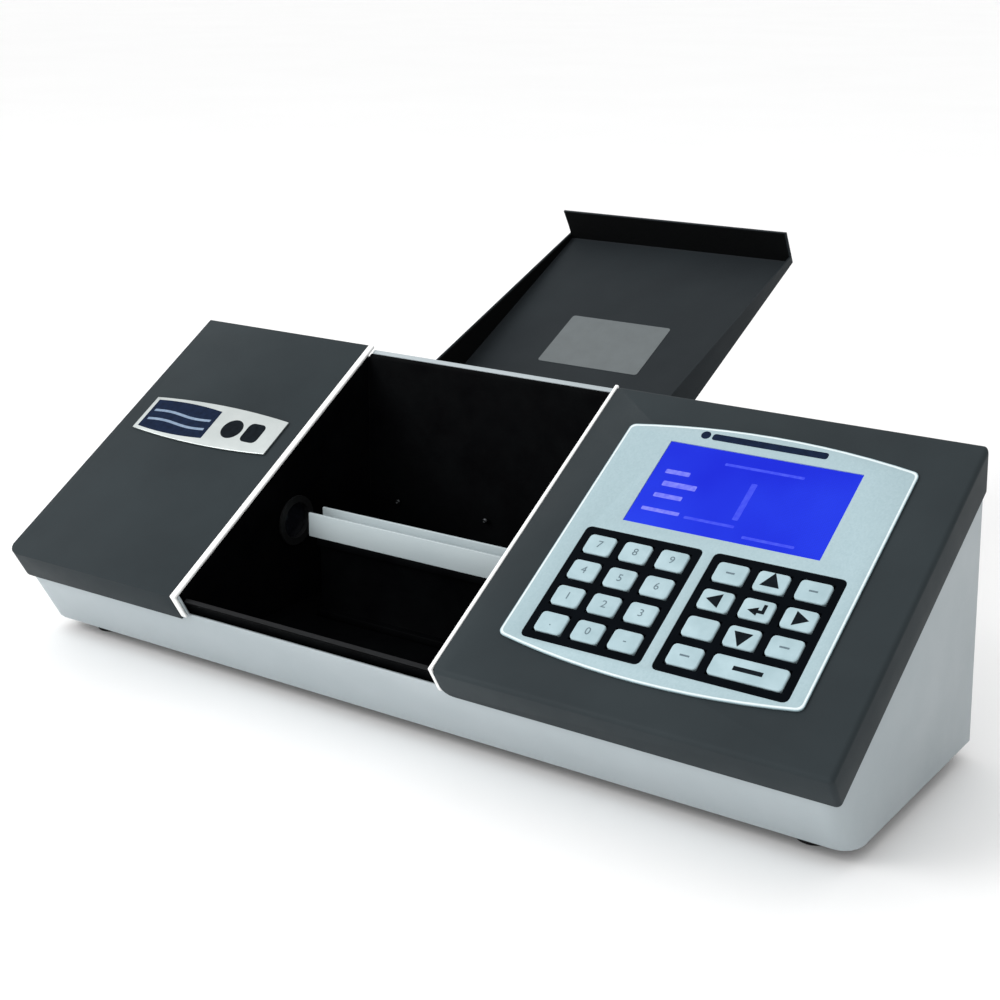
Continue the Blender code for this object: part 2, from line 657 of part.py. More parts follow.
def build_lid():
    """Folded sheet lid, drawn closed: its side flanges deepen from the front lip to the hinge."""
    front, back, top = LID_FRONT - HINGE_S, LID_END - HINGE_S, -HINGE_N
    corners = [(front, top), (LID_FLANGE_END - HINGE_S, top), (back, top),
               (LID_FLANGE_FOOT - HINGE_S, top - LID_FLANGE_REAR), (front, top - LID_FLANGE_FRONT),
               (front, top - LID_LIP), (back, top - LID_SKIRT)]
    shape = bmesh.new()
    left = [shape.verts.new((LID_LEFT, s, n)) for s, n in corners]
    right = [shape.verts.new((LID_RIGHT, s, n)) for s, n in corners]
    for side in (left, right):
        shape.faces.new((side[0], side[1], side[3], side[4]))
    for first, second in ((0, 1), (1, 2), (0, 4), (4, 5), (2, 6)):
        shape.faces.new((left[first], right[first], right[second], left[second]))
    face_outwards(shape)
    lid = add_object("lid", mesh_from("lid", shape), DARK_PAINT, LID_FRAME)
    add_sheet(lid, LID_SHEET)


def build_hinge():
    """Two arms down from the lid, two ears out from the rear panel, and the pin through them."""
    mirror_line = CHAMBER_LEFT + CHAMBER_RIGHT
    arm_top = -HINGE_N - LID_SHEET - GAP
    arm = arc((0, 0), KNUCKLE_RADIUS, 170, 360, 10)
    arm += [(KNUCKLE_RADIUS, arm_top), (-ARM_FRONT, arm_top)]
    arm_hole = circle((0, 0), PIN_HOLE_RADIUS)
    pin = (HINGE_Y, HINGE_Z)
    root = PANEL_REAR + GAP
    ear = arc(pin, KNUCKLE_RADIUS, -90, 90, 10)
    ear += [(root, HINGE_Z + EAR_ABOVE), (root, HINGE_Z - EAR_BELOW)]
    ear_hole = circle(pin, PIN_HOLE_RADIUS)
    bracket_left = ARM_LEFT + ARM_THICKNESS + EAR_GAP
    for side in ("left", "right"):
        arm_ends = (ARM_LEFT, ARM_LEFT + ARM_THICKNESS)
        ear_ends = (bracket_left, bracket_left + BRACKET_THICKNESS)
        if side == "right":
            arm_ends = (mirror_line - arm_ends[1], mirror_line - arm_ends[0])
            ear_ends = (mirror_line - ear_ends[1], mirror_line - ear_ends[0])
        plate_across("lid_arm_" + side, [arm, arm_hole], *arm_ends, BLACK_PLASTIC, LID_FRAME)
        plate_across("hinge_ear_" + side, [ear, ear_hole], *ear_ends, STEEL, CASE_FRAME)
    start = ARM_LEFT - PIN_OVERHANG
    rod_x("hinge_pin", PIN_RADIUS, start, mirror_line - start, pin, STEEL, CASE_FRAME)


def build_badge():
    """Decorative plate on the left cover."""
    outline = bulged_outline(BADGE_LEFT, BADGE_RIGHT, BADGE_FRONT, BADGE_BACK, BADGE_BULGE)
    curve = outline_curve("badge_plate", [outline], BADGE_THICKNESS)
    add_object("badge_plate", curve, BADGE_METAL, SLOPE_FRAME, (0, 0, GAP + BADGE_THICKNESS / 2))


def build_fascia():
    """Overlay plate with windows for the screen and both key blocks."""
    outline = bulged_outline(FASCIA_LEFT, FASCIA_RIGHT, FASCIA_FRONT, FASCIA_BACK, FASCIA_BULGE)
    screen = rectangle(SCREEN_LEFT, SCREEN_RIGHT, SCREEN_FRONT, SCREEN_BACK)
    numbers = rounded_rectangle(NUMBER_LEFT, NUMBER_RIGHT, KEYS_FRONT, KEYS_BACK,
                                FRAME_CORNER_RADIUS)
    functions = rounded_rectangle(FUNCTION_LEFT, FUNCTION_RIGHT, KEYS_FRONT, KEYS_BACK,
                                  FRAME_CORNER_RADIUS)
    curve = outline_curve("fascia", [outline, screen, numbers, functions], FASCIA_THICKNESS)
    add_object("fascia", curve, FASCIA_FILM, SLOPE_FRAME, (0, 0, GAP + FASCIA_THICKNESS / 2))
    box("screen", (SCREEN_LEFT + GAP, SCREEN_FRONT + GAP, -0.0055),
        (SCREEN_RIGHT - GAP, SCREEN_BACK - GAP, GAP + FASCIA_THICKNESS * 0.6),
        SCREEN_GLASS, SLOPE_FRAME)


def key_cells(left, right, count):
    """Start and end of each key opening between two edges, with a bar on every side."""
    pitch = (right - left - KEY_BAR) / count
    starts = [left + KEY_BAR + pitch * index for index in range(count)]
    return [(start, start + pitch - KEY_BAR) for start in starts]


def key_openings(left, right, wide_key):
    """The openings of one key block, by row from the back, as (column, left, right, front, back)."""
    columns = key_cells(left + GAP, right - GAP, KEY_COLUMNS)
    rows = key_cells(KEYS_FRONT + GAP, KEYS_BACK - GAP, KEY_ROWS)
    openings = []
    for row, (front, back) in enumerate(reversed(rows), start=1):
        for column, (start, end) in enumerate(columns, start=1):
            if wide_key and row == KEY_ROWS and column == 2:
                openings.append((row, column, start, columns[2][1], front, back))
                break
            openings.append((row, column, start, end, front, back))
    return openings


def build_key_block(label, left, right, wide_key):
    """A black frame with one opening for each key, and the keys that travel in it."""
    openings = key_openings(left, right, wide_key)
    outline = rounded_rectangle(left + GAP, right - GAP, KEYS_FRONT + GAP, KEYS_BACK - GAP,
                                FRAME_CORNER_RADIUS - GAP)
    holes = [rectangle(*opening[2:]) for opening in openings]
    curve = outline_curve(label + "_frame", [outline] + holes, FRAME_TOP - FRAME_BOTTOM)
    middle = (FRAME_TOP + FRAME_BOTTOM) / 2
    add_object(label + "_frame", curve, FRAME_PLASTIC, SLOPE_FRAME, (0, 0, middle))
    for row, column, start, end, front, back in openings:
        name = label + "_key_" + str(row) + str(column)
        build_key(name, start, end, front, back)


def build_key(name, left, right, front, back):
    """One key cap with rounded corners and a softened top edge."""
    clear = KEY_CLEARANCE
    size = (right - left - 2 * clear, back - front - 2 * clear, KEY_TOP - KEY_BOTTOM)
    shape = bmesh.new()
    bmesh.ops.create_cube(shape, size=1.0)
    bmesh.ops.scale(shape, vec=size, verts=shape.verts)
    upright = [edge for edge in shape.edges
               if abs(edge.verts[0].co.z - edge.verts[1].co.z) > size[2] / 2]
    bmesh.ops.bevel(shape, geom=upright, offset=KEY_RADIUS, segments=3, profile=0.5, affect="EDGES")
    top = [edge for edge in shape.edges if all(v.co.z > size[2] * 0.49 for v in edge.verts)]
    bmesh.ops.bevel(shape, geom=top, offset=0.0005, segments=1, profile=0.5, affect="EDGES")
    centre = ((left + right) / 2, (front + back) / 2, (KEY_TOP + KEY_BOTTOM) / 2)
    add_object(name, mesh_from(name, shape), KEY_RUBBER, SLOPE_FRAME, centre)


def build_boards():
    """Circuit boards: one under the keys and one on the floor of the right-hand bay."""
    box("key_board", *KEY_BOARD, BOARD_LAMINATE, SLOPE_FRAME)
    box("main_board", *MAIN_BOARD, BOARD_LAMINATE, CASE_FRAME)


def build_optics():
    """Lamp house left of the chamber; filter wheel, its motor and the detector to the right."""
    house = box("lamp_house", *LAMP_HOUSE, BLACK_PAINT, CASE_FRAME)
    cut(house, rod_x("cut_lamp_bore", LAMP_BORE_RADIUS, *LAMP_BORE, (BEAM_Y, BEAM_Z), None,
                     CASE_FRAME))
    wheel_profile = [(0, WHEEL_THICKNESS), (HUB_RADIUS, WHEEL_THICKNESS), (HUB_RADIUS, RIM_THICKNESS),
                     (WHEEL_RADIUS, RIM_THICKNESS), (WHEEL_RADIUS, 0), (0, 0)]
    wheel = turned_along_x("filter_wheel", wheel_profile, BLACK_PLASTIC, CASE_FRAME,
                           (WHEEL_X, WHEEL_Y, WHEEL_Z), 48)
    reach = math.hypot(WHEEL_Y - BEAM_Y, WHEEL_Z - BEAM_Z)
    start = math.atan2(BEAM_Z - WHEEL_Z, BEAM_Y - WHEEL_Y)
    for index in range(FILTER_COUNT):
        angle = start + 2 * math.pi * index / FILTER_COUNT
        place = (WHEEL_Y + reach * math.cos(angle), WHEEL_Z + reach * math.sin(angle))
        cut(wheel, rod_x("cut_filter_" + str(index), FILTER_RADIUS, WHEEL_X - CUT_MARGIN,
                         WHEEL_X + CUT_MARGIN, place, None, CASE_FRAME, 10))
    box("filter_motor", *FILTER_MOTOR, STEEL, CASE_FRAME, MOTOR_EDGE)
    box("detector", *DETECTOR, BLACK_PAINT, CASE_FRAME)


build_case()
build_base()
build_rear_panel()
build_rear_fittings()
build_covers()
build_trims()
build_chamber()
build_ports()
build_cell_holder()
build_lid()
build_hinge()
build_badge()
build_fascia()
build_key_block("number", NUMBER_LEFT, NUMBER_RIGHT, False)
build_key_block("function", FUNCTION_LEFT, FUNCTION_RIGHT, True)
build_boards()
build_optics()
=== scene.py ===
"""Looks of a bench spectrophotometer: powder-coated sheet covers, a silver film fascia with a lit
blue screen and moulded keys, a matt black sample chamber and its lid swung open.

Sizes are in metres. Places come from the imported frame; "slope" coordinates are x from the left
cheek, s up the sloping top from its front crease, and n out of that surface.
"""
import json
import math

import bmesh
import bpy
from mathutils import Matrix, Vector


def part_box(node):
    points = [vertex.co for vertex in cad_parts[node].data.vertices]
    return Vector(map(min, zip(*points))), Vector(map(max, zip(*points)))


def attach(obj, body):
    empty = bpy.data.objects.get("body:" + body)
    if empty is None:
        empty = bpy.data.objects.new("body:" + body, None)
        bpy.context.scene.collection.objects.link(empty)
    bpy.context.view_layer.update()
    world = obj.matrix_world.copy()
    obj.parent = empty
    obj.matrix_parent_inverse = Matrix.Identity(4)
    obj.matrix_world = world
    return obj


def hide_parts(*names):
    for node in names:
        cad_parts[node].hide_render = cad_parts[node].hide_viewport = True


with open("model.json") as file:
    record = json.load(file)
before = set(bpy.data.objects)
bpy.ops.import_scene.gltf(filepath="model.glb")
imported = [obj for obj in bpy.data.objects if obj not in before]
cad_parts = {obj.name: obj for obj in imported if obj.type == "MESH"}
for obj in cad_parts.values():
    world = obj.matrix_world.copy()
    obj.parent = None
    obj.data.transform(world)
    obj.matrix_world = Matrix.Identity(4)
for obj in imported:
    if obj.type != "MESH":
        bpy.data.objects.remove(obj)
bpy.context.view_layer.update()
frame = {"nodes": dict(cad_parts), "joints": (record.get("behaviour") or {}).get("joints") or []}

NODES = frame["nodes"]
JOINTS = {joint["name"]: joint for joint in frame["joints"]}

# ---------------------------------------------------------------- places taken from the frame

PRESS = Vector(JOINTS["number_key_11_press"]["axis"])
SLOPE = math.atan2(PRESS.y, -PRESS.z)
COVER_LOW, COVER_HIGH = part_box("left_cover")
CREASE_Z = COVER_HIGH.z - (COVER_HIGH.y - COVER_LOW.y) * math.tan(SLOPE)
SLOPE_FRAME = (Matrix.Translation((COVER_LOW.x, COVER_LOW.y, CREASE_Z))
               @ Matrix.Rotation(SLOPE, 4, "X"))
HINGE = JOINTS["lid_hinge"]
OPEN_ANGLE = math.radians(HINGE["range_deg"][1])
LID_FRAME = (Matrix.Translation((COVER_LOW.x, HINGE["pos_m"][1], HINGE["pos_m"][2]))
             @ Matrix.Rotation(SLOPE - OPEN_ANGLE, 4, "X"))

# ---------------------------------------------------------------- sizes

# A printed mark is one PRINT thick and stands just clear of what it is printed on.
PRINT = 0.00006
PRINT_BASE = PRINT * 0.1
PRINT_MIDDLE = PRINT * 0.6
PRINT_TOP = PRINT * 1.1
FASCIA_BULGE = 0.0075
FASCIA_CORNER = 0.003
COVER_SHEET = 0.0012
ON_PANEL = 0.00005

# Turns in degrees that count as a shading edge, a fold or edge, and an outline's corner.
SHARP_TURN = 35
FOLD_TURN = 30
CORNER_TURN = 60

# Facets across a rounded edge, a bend and an outline's corner.
EDGE_STEPS = 2
BEND_STEPS = 5
CORNER_STEPS = 6


def box_in(node, place):
    """Lowest and highest corner of a CAD node in a local frame."""
    back = place.inverted()
    points = [back @ vert.co for vert in NODES[node].data.vertices]
    low = Vector([min(point[axis] for point in points) for axis in range(3)])
    high = Vector([max(point[axis] for point in points) for axis in range(3)])
    return low, high


# ---------------------------------------------------------------- finishes


def colour(code):
    """Linear colour from an sRGB hex code."""
    parts = [int(code[index:index + 2], 16) / 255 for index in (0, 2, 4)]
    linear = [part / 12.92 if part <= 0.04045 else ((part + 0.055) / 1.055) ** 2.4 for part in parts]
    return (*linear, 1.0)


def per_mm(size):
    """Noise scale whose features are about this many millimetres across."""
    return 1000.0 / size


def add(tree, kind, inputs=None, **settings):
    """Add a node, set its properties, and fill or link its inputs."""
    node = tree.nodes.new(kind)
    for name, value in settings.items():
        setattr(node, name, value)
    for socket, value in (inputs or {}).items():
        if isinstance(value, bpy.types.NodeSocket):
            tree.links.new(value, node.inputs[socket])
        else:
            node.inputs[socket].default_value = value
    return node


def new_finish(name):
    """A material with an empty Principled shader; gives its tree, shader and Object coordinates."""
    material = bpy.data.materials.new(name)
    material.use_nodes = True
    tree = material.node_tree
    tree.nodes.clear()
    shader = add(tree, "ShaderNodeBsdfPrincipled")
    add(tree, "ShaderNodeOutputMaterial", {"Surface": shader.outputs["BSDF"]})
    place = add(tree, "ShaderNodeTexCoord").outputs["Object"]
    return material, tree, shader, place


def noise(tree, place, size_mm, detail=3.0, rough=0.55):
    """Noise with features of a size in millimetres."""
    node = add(tree, "ShaderNodeTexNoise", {"Vector": place, "Scale": per_mm(size_mm),
                                            "Detail": detail, "Roughness": rough})
    return node.outputs["Fac"]


NOISE_LOW, NOISE_HIGH = 0.3, 0.7


def spread(tree, factor, low, high):
    """Map a noise's middle range onto two numbers."""
    node = add(tree, "ShaderNodeMapRange", {"Value": factor, "From Min": NOISE_LOW,
                                            "From Max": NOISE_HIGH, "To Min": low, "To Max": high})
    return node.outputs["Result"]


# Colour sockets of a Mix node: its two inputs and its result.
MIX_FIRST, MIX_SECOND, MIX_RESULT = 6, 7, 2


def blend(tree, factor, first, second):
    """Mix two colours."""
    node = add(tree, "ShaderNodeMix", data_type="RGBA")
    tree.links.new(factor, node.inputs["Factor"])
    for socket, value in ((node.inputs[MIX_FIRST], first), (node.inputs[MIX_SECOND], second)):
        if isinstance(value, bpy.types.NodeSocket):
            tree.links.new(value, socket)
        else:
            socket.default_value = value
    return node.outputs[MIX_RESULT]


def tint(tree, shader, factor, first, second):
    """Colour a surface between two sRGB codes, following a noise."""
    mixed = blend(tree, spread(tree, factor, 0.0, 1.0), colour(first), colour(second))
    tree.links.new(mixed, shader.inputs["Base Color"])


def roughen(tree, shader, factor, low, high):
    """Vary a surface's roughness between two values, following a noise."""
    tree.links.new(spread(tree, factor, low, high), shader.inputs["Roughness"])


def relief(tree, shader, height, depth_mm, strength):
    """Bump from a height, with the real depth of the relief in millimetres."""
    node = add(tree, "ShaderNodeBump", {"Height": height, "Distance": depth_mm / 1000.0,
                                        "Strength": strength})
    tree.links.new(node.outputs["Normal"], shader.inputs["Normal"])


def powder_coat(name, base, shade, gloss, shine=0.4):
    """Polyester powder coat baked on folded steel: a fine orange peel that breaks up highlights,
    slightly uneven in colour and sheen where hands and cloths have rubbed it."""
    material, tree, shader, place = new_finish(name)
    cloud = noise(tree, place, 70, 4)
    peel = noise(tree, place, 1.3, 2, 0.5)
    speck = noise(tree, place, 0.7, 1)
    body = blend(tree, spread(tree, cloud, 0.0, 1.0), colour(base), colour(shade))
    tree.links.new(blend(tree, spread(tree, speck, 0.0, 0.22), body, colour(shade)),
                   shader.inputs["Base Color"])
    roughen(tree, shader, noise(tree, place, 28, 5, 0.6), gloss - 0.05, gloss + 0.07)
    shader.inputs["Specular IOR Level"].default_value = shine
    relief(tree, shader, peel, 0.05, 0.5)
    return material


def matt_black():
    """Matt black stoving paint inside the chamber: swallows light, with dust in faint clouds."""
    material, tree, shader, place = new_finish("matt_black_paint")
    tint(tree, shader, noise(tree, place, 22, 6, 0.65), "020203", "060708")
    roughen(tree, shader, noise(tree, place, 9, 3), 0.5, 0.66)
    shader.inputs["Specular IOR Level"].default_value = 0.015
    relief(tree, shader, noise(tree, place, 1.0, 2), 0.03, 0.4)
    return material


def printed_film():
    """Polycarbonate overlay back-printed in silver: tiny metal flakes under a soft matt face."""
    material, tree, shader, place = new_finish("silver_printed_film")
    flake = add(tree, "ShaderNodeTexVoronoi", {"Vector": place, "Scale": per_mm(0.9)})
    lift = add(tree, "ShaderNodeMapRange", {"Value": flake.outputs["Color"], "To Min": 0.0,
                                            "To Max": 0.5})
    base = blend(tree, lift.outputs["Result"], colour("98B0B7"), colour("ADC2C8"))
    broad = spread(tree, noise(tree, place, 90, 2), 0.0, 0.35)
    tree.links.new(blend(tree, broad, base, colour("93AAB0")), shader.inputs["Base Color"])
    shader.inputs["Metallic"].default_value = 0.15
    roughen(tree, shader, noise(tree, place, 15, 4), 0.33, 0.45)
    shader.inputs["Coat Weight"].default_value = 0.25
    shader.inputs["Coat Roughness"].default_value = 0.3
    relief(tree, shader, noise(tree, place, 0.8, 1), 0.015, 0.4)
    return material


def moulded_key():
    """Silicone rubber key, moulded and spray-coated: very matt, darker where fingers land."""
    material, tree, shader, place = new_finish("coated_silicone")
    tint(tree, shader, noise(tree, place, 11, 3), "97B0B7", "A6BEC5")
    roughen(tree, shader, noise(tree, place, 4, 3), 0.5, 0.64)
    shader.inputs["Sheen Weight"].default_value = 0.12
    shader.inputs["Sheen Roughness"].default_value = 0.5
    relief(tree, shader, noise(tree, place, 0.9, 2), 0.02, 0.45)
    return material


def moulded_plastic(name, base, shade, rough, shine=0.35):
    """Injection-moulded ABS with a spark-eroded texture: even, finely grained, low sheen."""
    material, tree, shader, place = new_finish(name)
    tint(tree, shader, noise(tree, place, 14, 4), base, shade)
    roughen(tree, shader, noise(tree, place, 3, 3), rough - 0.05, rough + 0.06)
    shader.inputs["Specular IOR Level"].default_value = shine
    relief(tree, shader, noise(tree, place, 0.8, 2), 0.03, 0.5)
    return material


def lit_screen():
    """Blue backlit liquid crystal behind a clear cover: a fine dot grid, drawn a little coarser
    than the real one, and brighter where the backlight is strongest."""
    material, tree, shader, place = new_finish("backlit_crystal")
    turned = add(tree, "ShaderNodeMapping", {"Vector": place, "Rotation": (-SLOPE, 0, 0)})
    dots = add(tree, "ShaderNodeTexBrick", {
        "Vector": turned.outputs["Vector"], "Color1": (1, 1, 1, 1), "Color2": (0.94, 0.94, 0.94, 1),
        "Mortar": (0.6, 0.6, 0.6, 1), "Scale": per_mm(1.0), "Mortar Size": 0.06,
        "Brick Width": 1.0, "Row Height": 1.0}, offset=0.0)
    glow = spread(tree, noise(tree, place, 60, 2), 0.0, 1.0)
    blue = blend(tree, glow, colour("1B2BE2"), colour("2640F2"))
    grid = add(tree, "ShaderNodeMix", data_type="RGBA", blend_type="MULTIPLY")
    grid.inputs["Factor"].default_value = 0.5
    tree.links.new(blue, grid.inputs[MIX_FIRST])
    tree.links.new(dots.outputs["Color"], grid.inputs[MIX_SECOND])
    tree.links.new(blend(tree, glow, colour("04061A"), colour("060A24")), shader.inputs["Base Color"])
    tree.links.new(grid.outputs[MIX_RESULT], shader.inputs["Emission Color"])
    shader.inputs["Emission Strength"].default_value = 1.0
    shader.inputs["Specular IOR Level"].default_value = 0.03
    roughen(tree, shader, noise(tree, place, 20, 3), 0.16, 0.24)
    relief(tree, shader, noise(tree, place, 30, 1), 0.02, 0.3)
    return material


def screen_ink(name, low, high):
    """Crystal segments that let the backlight through: pale lilac, a little uneven."""
    material, tree, shader, place = new_finish(name)
    pale = blend(tree, spread(tree, noise(tree, place, 2.5, 2), 0.0, 1.0), colour(low), colour(high))
    tint(tree, shader, noise(tree, place, 6, 2), "0A0D2C", "0D1136")
    tree.links.new(pale, shader.inputs["Emission Color"])
    shader.inputs["Emission Strength"].default_value = 1.0
    shader.inputs["Specular IOR Level"].default_value = 0.03
    roughen(tree, shader, noise(tree, place, 5, 3), 0.24, 0.34)
    relief(tree, shader, noise(tree, place, 1.5, 1), 0.01, 0.2)
    return material


def printed_ink(name, base, shade):
    """Screen-printed ink: flat, slightly thicker in some places than in others."""
    material, tree, shader, place = new_finish(name)
    tint(tree, shader, noise(tree, place, 3, 3), base, shade)
    roughen(tree, shader, noise(tree, place, 2, 2), 0.4, 0.52)
    shader.inputs["Specular IOR Level"].default_value = 0.03
    relief(tree, shader, noise(tree, place, 0.8, 1), 0.01, 0.3)
    return material


def satin_metal(name, base, shade, rough):
    """Metal finished with a fine belt: short scratches along X stretch its highlights."""
    material, tree, shader, place = new_finish(name)
    stretched = add(tree, "ShaderNodeMapping", {"Vector": place, "Scale": (0.03, 1.0, 1.0)})
    scratch = noise(tree, stretched.outputs["Vector"], 0.5, 3, 0.6)
    tint(tree, shader, noise(tree, place, 18, 3), base, shade)
    shader.inputs["Metallic"].default_value = 1.0
    roughen(tree, shader, scratch, rough - 0.06, rough + 0.08)
    shader.inputs["Anisotropic"].default_value = 0.3
    relief(tree, shader, scratch, 0.01, 0.4)
    return material


def shade_sheet_finish():
    """Near-black, dead-matt sheet inside the lid with a fibrous grain. It is painted shade that stands for
    the shadow on the lid's lip and flanges.
    """
    material, tree, shader, place = new_finish("black_painted_shade_sheet")
    sheet_grain = noise(tree, place, 1.1, 6, 0.75)
    tint(tree, shader, sheet_grain, "050606", "0E0F10")
    roughen(tree, shader, sheet_grain, 0.85, 0.97)
    shader.inputs["Specular IOR Level"].default_value = 0.02
    shader.inputs["Sheen Weight"].default_value = 0.01
    relief(tree, shader, sheet_grain, 0.15, 0.7)
    return material


def foot_rubber():
    """Moulded nitrile rubber: dull black with a grey bloom."""
    material, tree, shader, place = new_finish("nitrile_rubber")
    bloom = noise(tree, place, 6, 5, 0.65)
    tree.links.new(blend(tree, spread(tree, bloom, 0.0, 0.8), colour("131415"), colour("202123")),
                   shader.inputs["Base Color"])
    roughen(tree, shader, bloom, 0.7, 0.85)
    shader.inputs["Specular IOR Level"].default_value = 0.15
    relief(tree, shader, noise(tree, place, 0.9, 2), 0.05, 0.5)
    return material


def optical_glass():
    """Coated borosilicate window: clear, with the faint violet of its coating."""
    material, tree, shader, place = new_finish("coated_window_glass")
    tint(tree, shader, noise(tree, place, 9, 2), "3A3F4C", "4A4F5C")
    shader.inputs["Transmission Weight"].default_value = 0.9
    shader.inputs["IOR"].default_value = 1.47
    roughen(tree, shader, noise(tree, place, 5, 3), 0.03, 0.08)
    relief(tree, shader, noise(tree, place, 14, 1), 0.005, 0.2)
    return material


def board_laminate():
    """Glass-epoxy board under green solder mask: glossy, with copper tracks showing through."""
    material, tree, shader, place = new_finish("masked_glass_epoxy")
    tracks = add(tree, "ShaderNodeTexBrick", {
        "Vector": place, "Color1": colour("1F6B38"), "Color2": colour("267A41"),
        "Mortar": colour("3C8C4C"), "Scale": per_mm(6.0), "Mortar Size": 0.04})
    tree.links.new(tracks.outputs["Color"], shader.inputs["Base Color"])
    roughen(tree, shader, noise(tree, place, 7, 3), 0.25, 0.38)
    relief(tree, shader, tracks.outputs["Fac"], 0.03, 0.4)
    return material


def paper_label():
    """Matt laminated paper label, left blank: grey, faintly mottled, with handling marks."""
    material, tree, shader, place = new_finish("laminated_label")
    mottle = noise(tree, place, 8, 5, 0.6)
    tint(tree, shader, mottle, "555C5E", "606769")
    roughen(tree, shader, mottle, 0.42, 0.6)
    relief(tree, shader, noise(tree, place, 1.2, 3), 0.02, 0.4)
    return material


DARK_COAT = powder_coat("charcoal_powder_coat", "2A3033", "30373A", 0.5, 0.07)
# Painted shade: the lid takes a darker copy of the covers' charcoal powder coat, which stands for the
# shade on the open lid.
SHADED_LID_COAT = powder_coat("lid_powder_coat_painted_shade", "25292C", "2A2F32", 0.52, 0.05)
PALE_COAT = powder_coat("pale_grey_powder_coat", "A0AAAE", "A8B1B5", 0.46)
TRIM_COAT = powder_coat("white_trim_coat", "EDEFEE", "F4F4F3", 0.4)
TROUGH_COAT = powder_coat("trough_powder_coat", "A9B5B9", "B2BDC0", 0.42)
BLACK_COAT = matt_black()
FILM = printed_film()
KEY_COAT = moulded_key()
KEY_FRAME = moulded_plastic("key_frame_plastic", "04070B", "070B10", 0.45, 0.015)
BLACK_ABS = moulded_plastic("black_moulded_plastic", "101112", "171819", 0.42)
SCREEN = lit_screen()
SEGMENTS = screen_ink("clear_crystal_segments", "6A70F6", "8C90FA")
FAINT_SEGMENTS = screen_ink("dim_crystal_segments", "3A48F0", "4C5CF4")
DARK_INK = printed_ink("dark_legend_ink", "0A0F14", "131A20")
SOFT_INK = printed_ink("grey_legend_ink", "5E6F77", "6E7E86")
NAVY_INK = printed_ink("navy_print", "0F1A2E", "15233C")
PALE_INK = printed_ink("pale_print", "74879F", "8C9DB2")
# Painted highlight: a pale band that stands for the light caught on the fascia's rounded edge. It is not a
# print.
EDGE_HIGHLIGHT_PAINT = printed_ink("painted_edge_highlight", "D3DEE0", "DEE6E8")
# Painted shade: a near-black sheet that stands for the shadow inside the lid's lip and flanges.
SHADE_SHEET_PAINT = shade_sheet_finish()
BADGE_METAL = satin_metal("satin_badge_aluminium", "C3CAC9", "CDD3D2", 0.34)
STEEL = satin_metal("bright_steel", "A9ACAE", "B6B9BA", 0.3)
DARK_STEEL = satin_metal("blacked_screw_steel", "3A3C3E", "46484A", 0.4)
RUBBER = foot_rubber()
GLASS = optical_glass()
BOARD = board_laminate()
LABEL = paper_label()

# ---------------------------------------------------------------- making pieces


def new_piece(name, shape, material, body="case", place=None):
    """Turn an edit mesh into a shaded piece that rides on a CAD body."""
    mesh = bpy.data.meshes.new(name)
    if place is not None:
        bmesh.ops.transform(shape, matrix=place, verts=shape.verts)
    shape.to_mesh(mesh)
    shape.free()
    mesh.materials.append(material)
    return finish_piece(name, mesh, body)


def finish_piece(name, mesh, body):
    """Link a mesh, shade it, and say what it rides on."""
    piece = bpy.data.objects.new(name, mesh)
    bpy.context.scene.collection.objects.link(piece)
    mesh.shade_smooth()
    mesh.set_sharp_from_angle(angle=math.radians(SHARP_TURN))
    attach(piece, body)
    return piece


def dress(material, *names):
    """Give CAD nodes their finish."""
    for name in names:
        node = NODES[name]
        for slot in node.material_slots:
            slot.material = material


def hard(shape, degrees):
    """Edges where a mesh turns by more than an angle."""
    return [edge for edge in shape.edges
            if len(edge.link_faces) == 2 and edge.calc_face_angle(0) > math.radians(degrees)]


def width_of(face):
    """How wide a long face is."""
    return face.calc_area() / max(edge.calc_length() for edge in face.edges)


def round_edges(shape, edges, radius, segments):
    """Bevel some edges to a round section."""
    bmesh.ops.bevel(shape, geom=edges, offset=radius, segments=segments, profile=0.5,
                    affect="EDGES", clamp_overlap=True)


def round_bends(shape, outer, sheet):
    """Give a folded sheet its bend radius outside and inside, leaving the cut rims square."""
    for outside, radius in ((True, outer), (False, outer - sheet)):
        bends = [edge for edge in hard(shape, FOLD_TURN) if edge.is_convex == outside
                 and min(width_of(face) for face in edge.link_faces) > sheet * 2]
        round_edges(shape, bends, radius, BEND_STEPS)


def round_outline(shape, radius):
    """Round the outer corners of a plate that lies on the slope."""
    corners = [edge for edge in hard(shape, CORNER_TURN) if edge.is_convex
               and abs((edge.verts[0].co - edge.verts[1].co).normalized().dot(PRESS)) > 0.9]
    round_edges(shape, corners, radius, CORNER_STEPS)


def keep_within(shape, original):
    """Hold a rounded shape inside the box of the shape it was made from."""
    for axis in range(3):
        low = min(vert.co[axis] for vert in original)
        high = max(vert.co[axis] for vert in original)
        for vert in shape.verts:
            vert.co[axis] = min(max(vert.co[axis], low), high)


def soften(node, material, radius, body="case", bend=0.0, corner=0.0):
    """Stand in for a CAD node with the same shape and rounded folds and edges."""
    shape = bmesh.new()
    shape.from_mesh(NODES[node].data)
    bmesh.ops.remove_doubles(shape, verts=shape.verts, dist=0.00002)
    bmesh.ops.dissolve_limit(shape, angle_limit=math.radians(1), verts=shape.verts,
                             edges=shape.edges)
    if bend:
        round_bends(shape, bend, COVER_SHEET)
    if corner:
        round_outline(shape, corner)
    round_edges(shape, hard(shape, FOLD_TURN), radius, EDGE_STEPS)
    keep_within(shape, NODES[node].data.vertices)
    piece = new_piece(node + "_formed", shape, material, body)
    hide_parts(node)


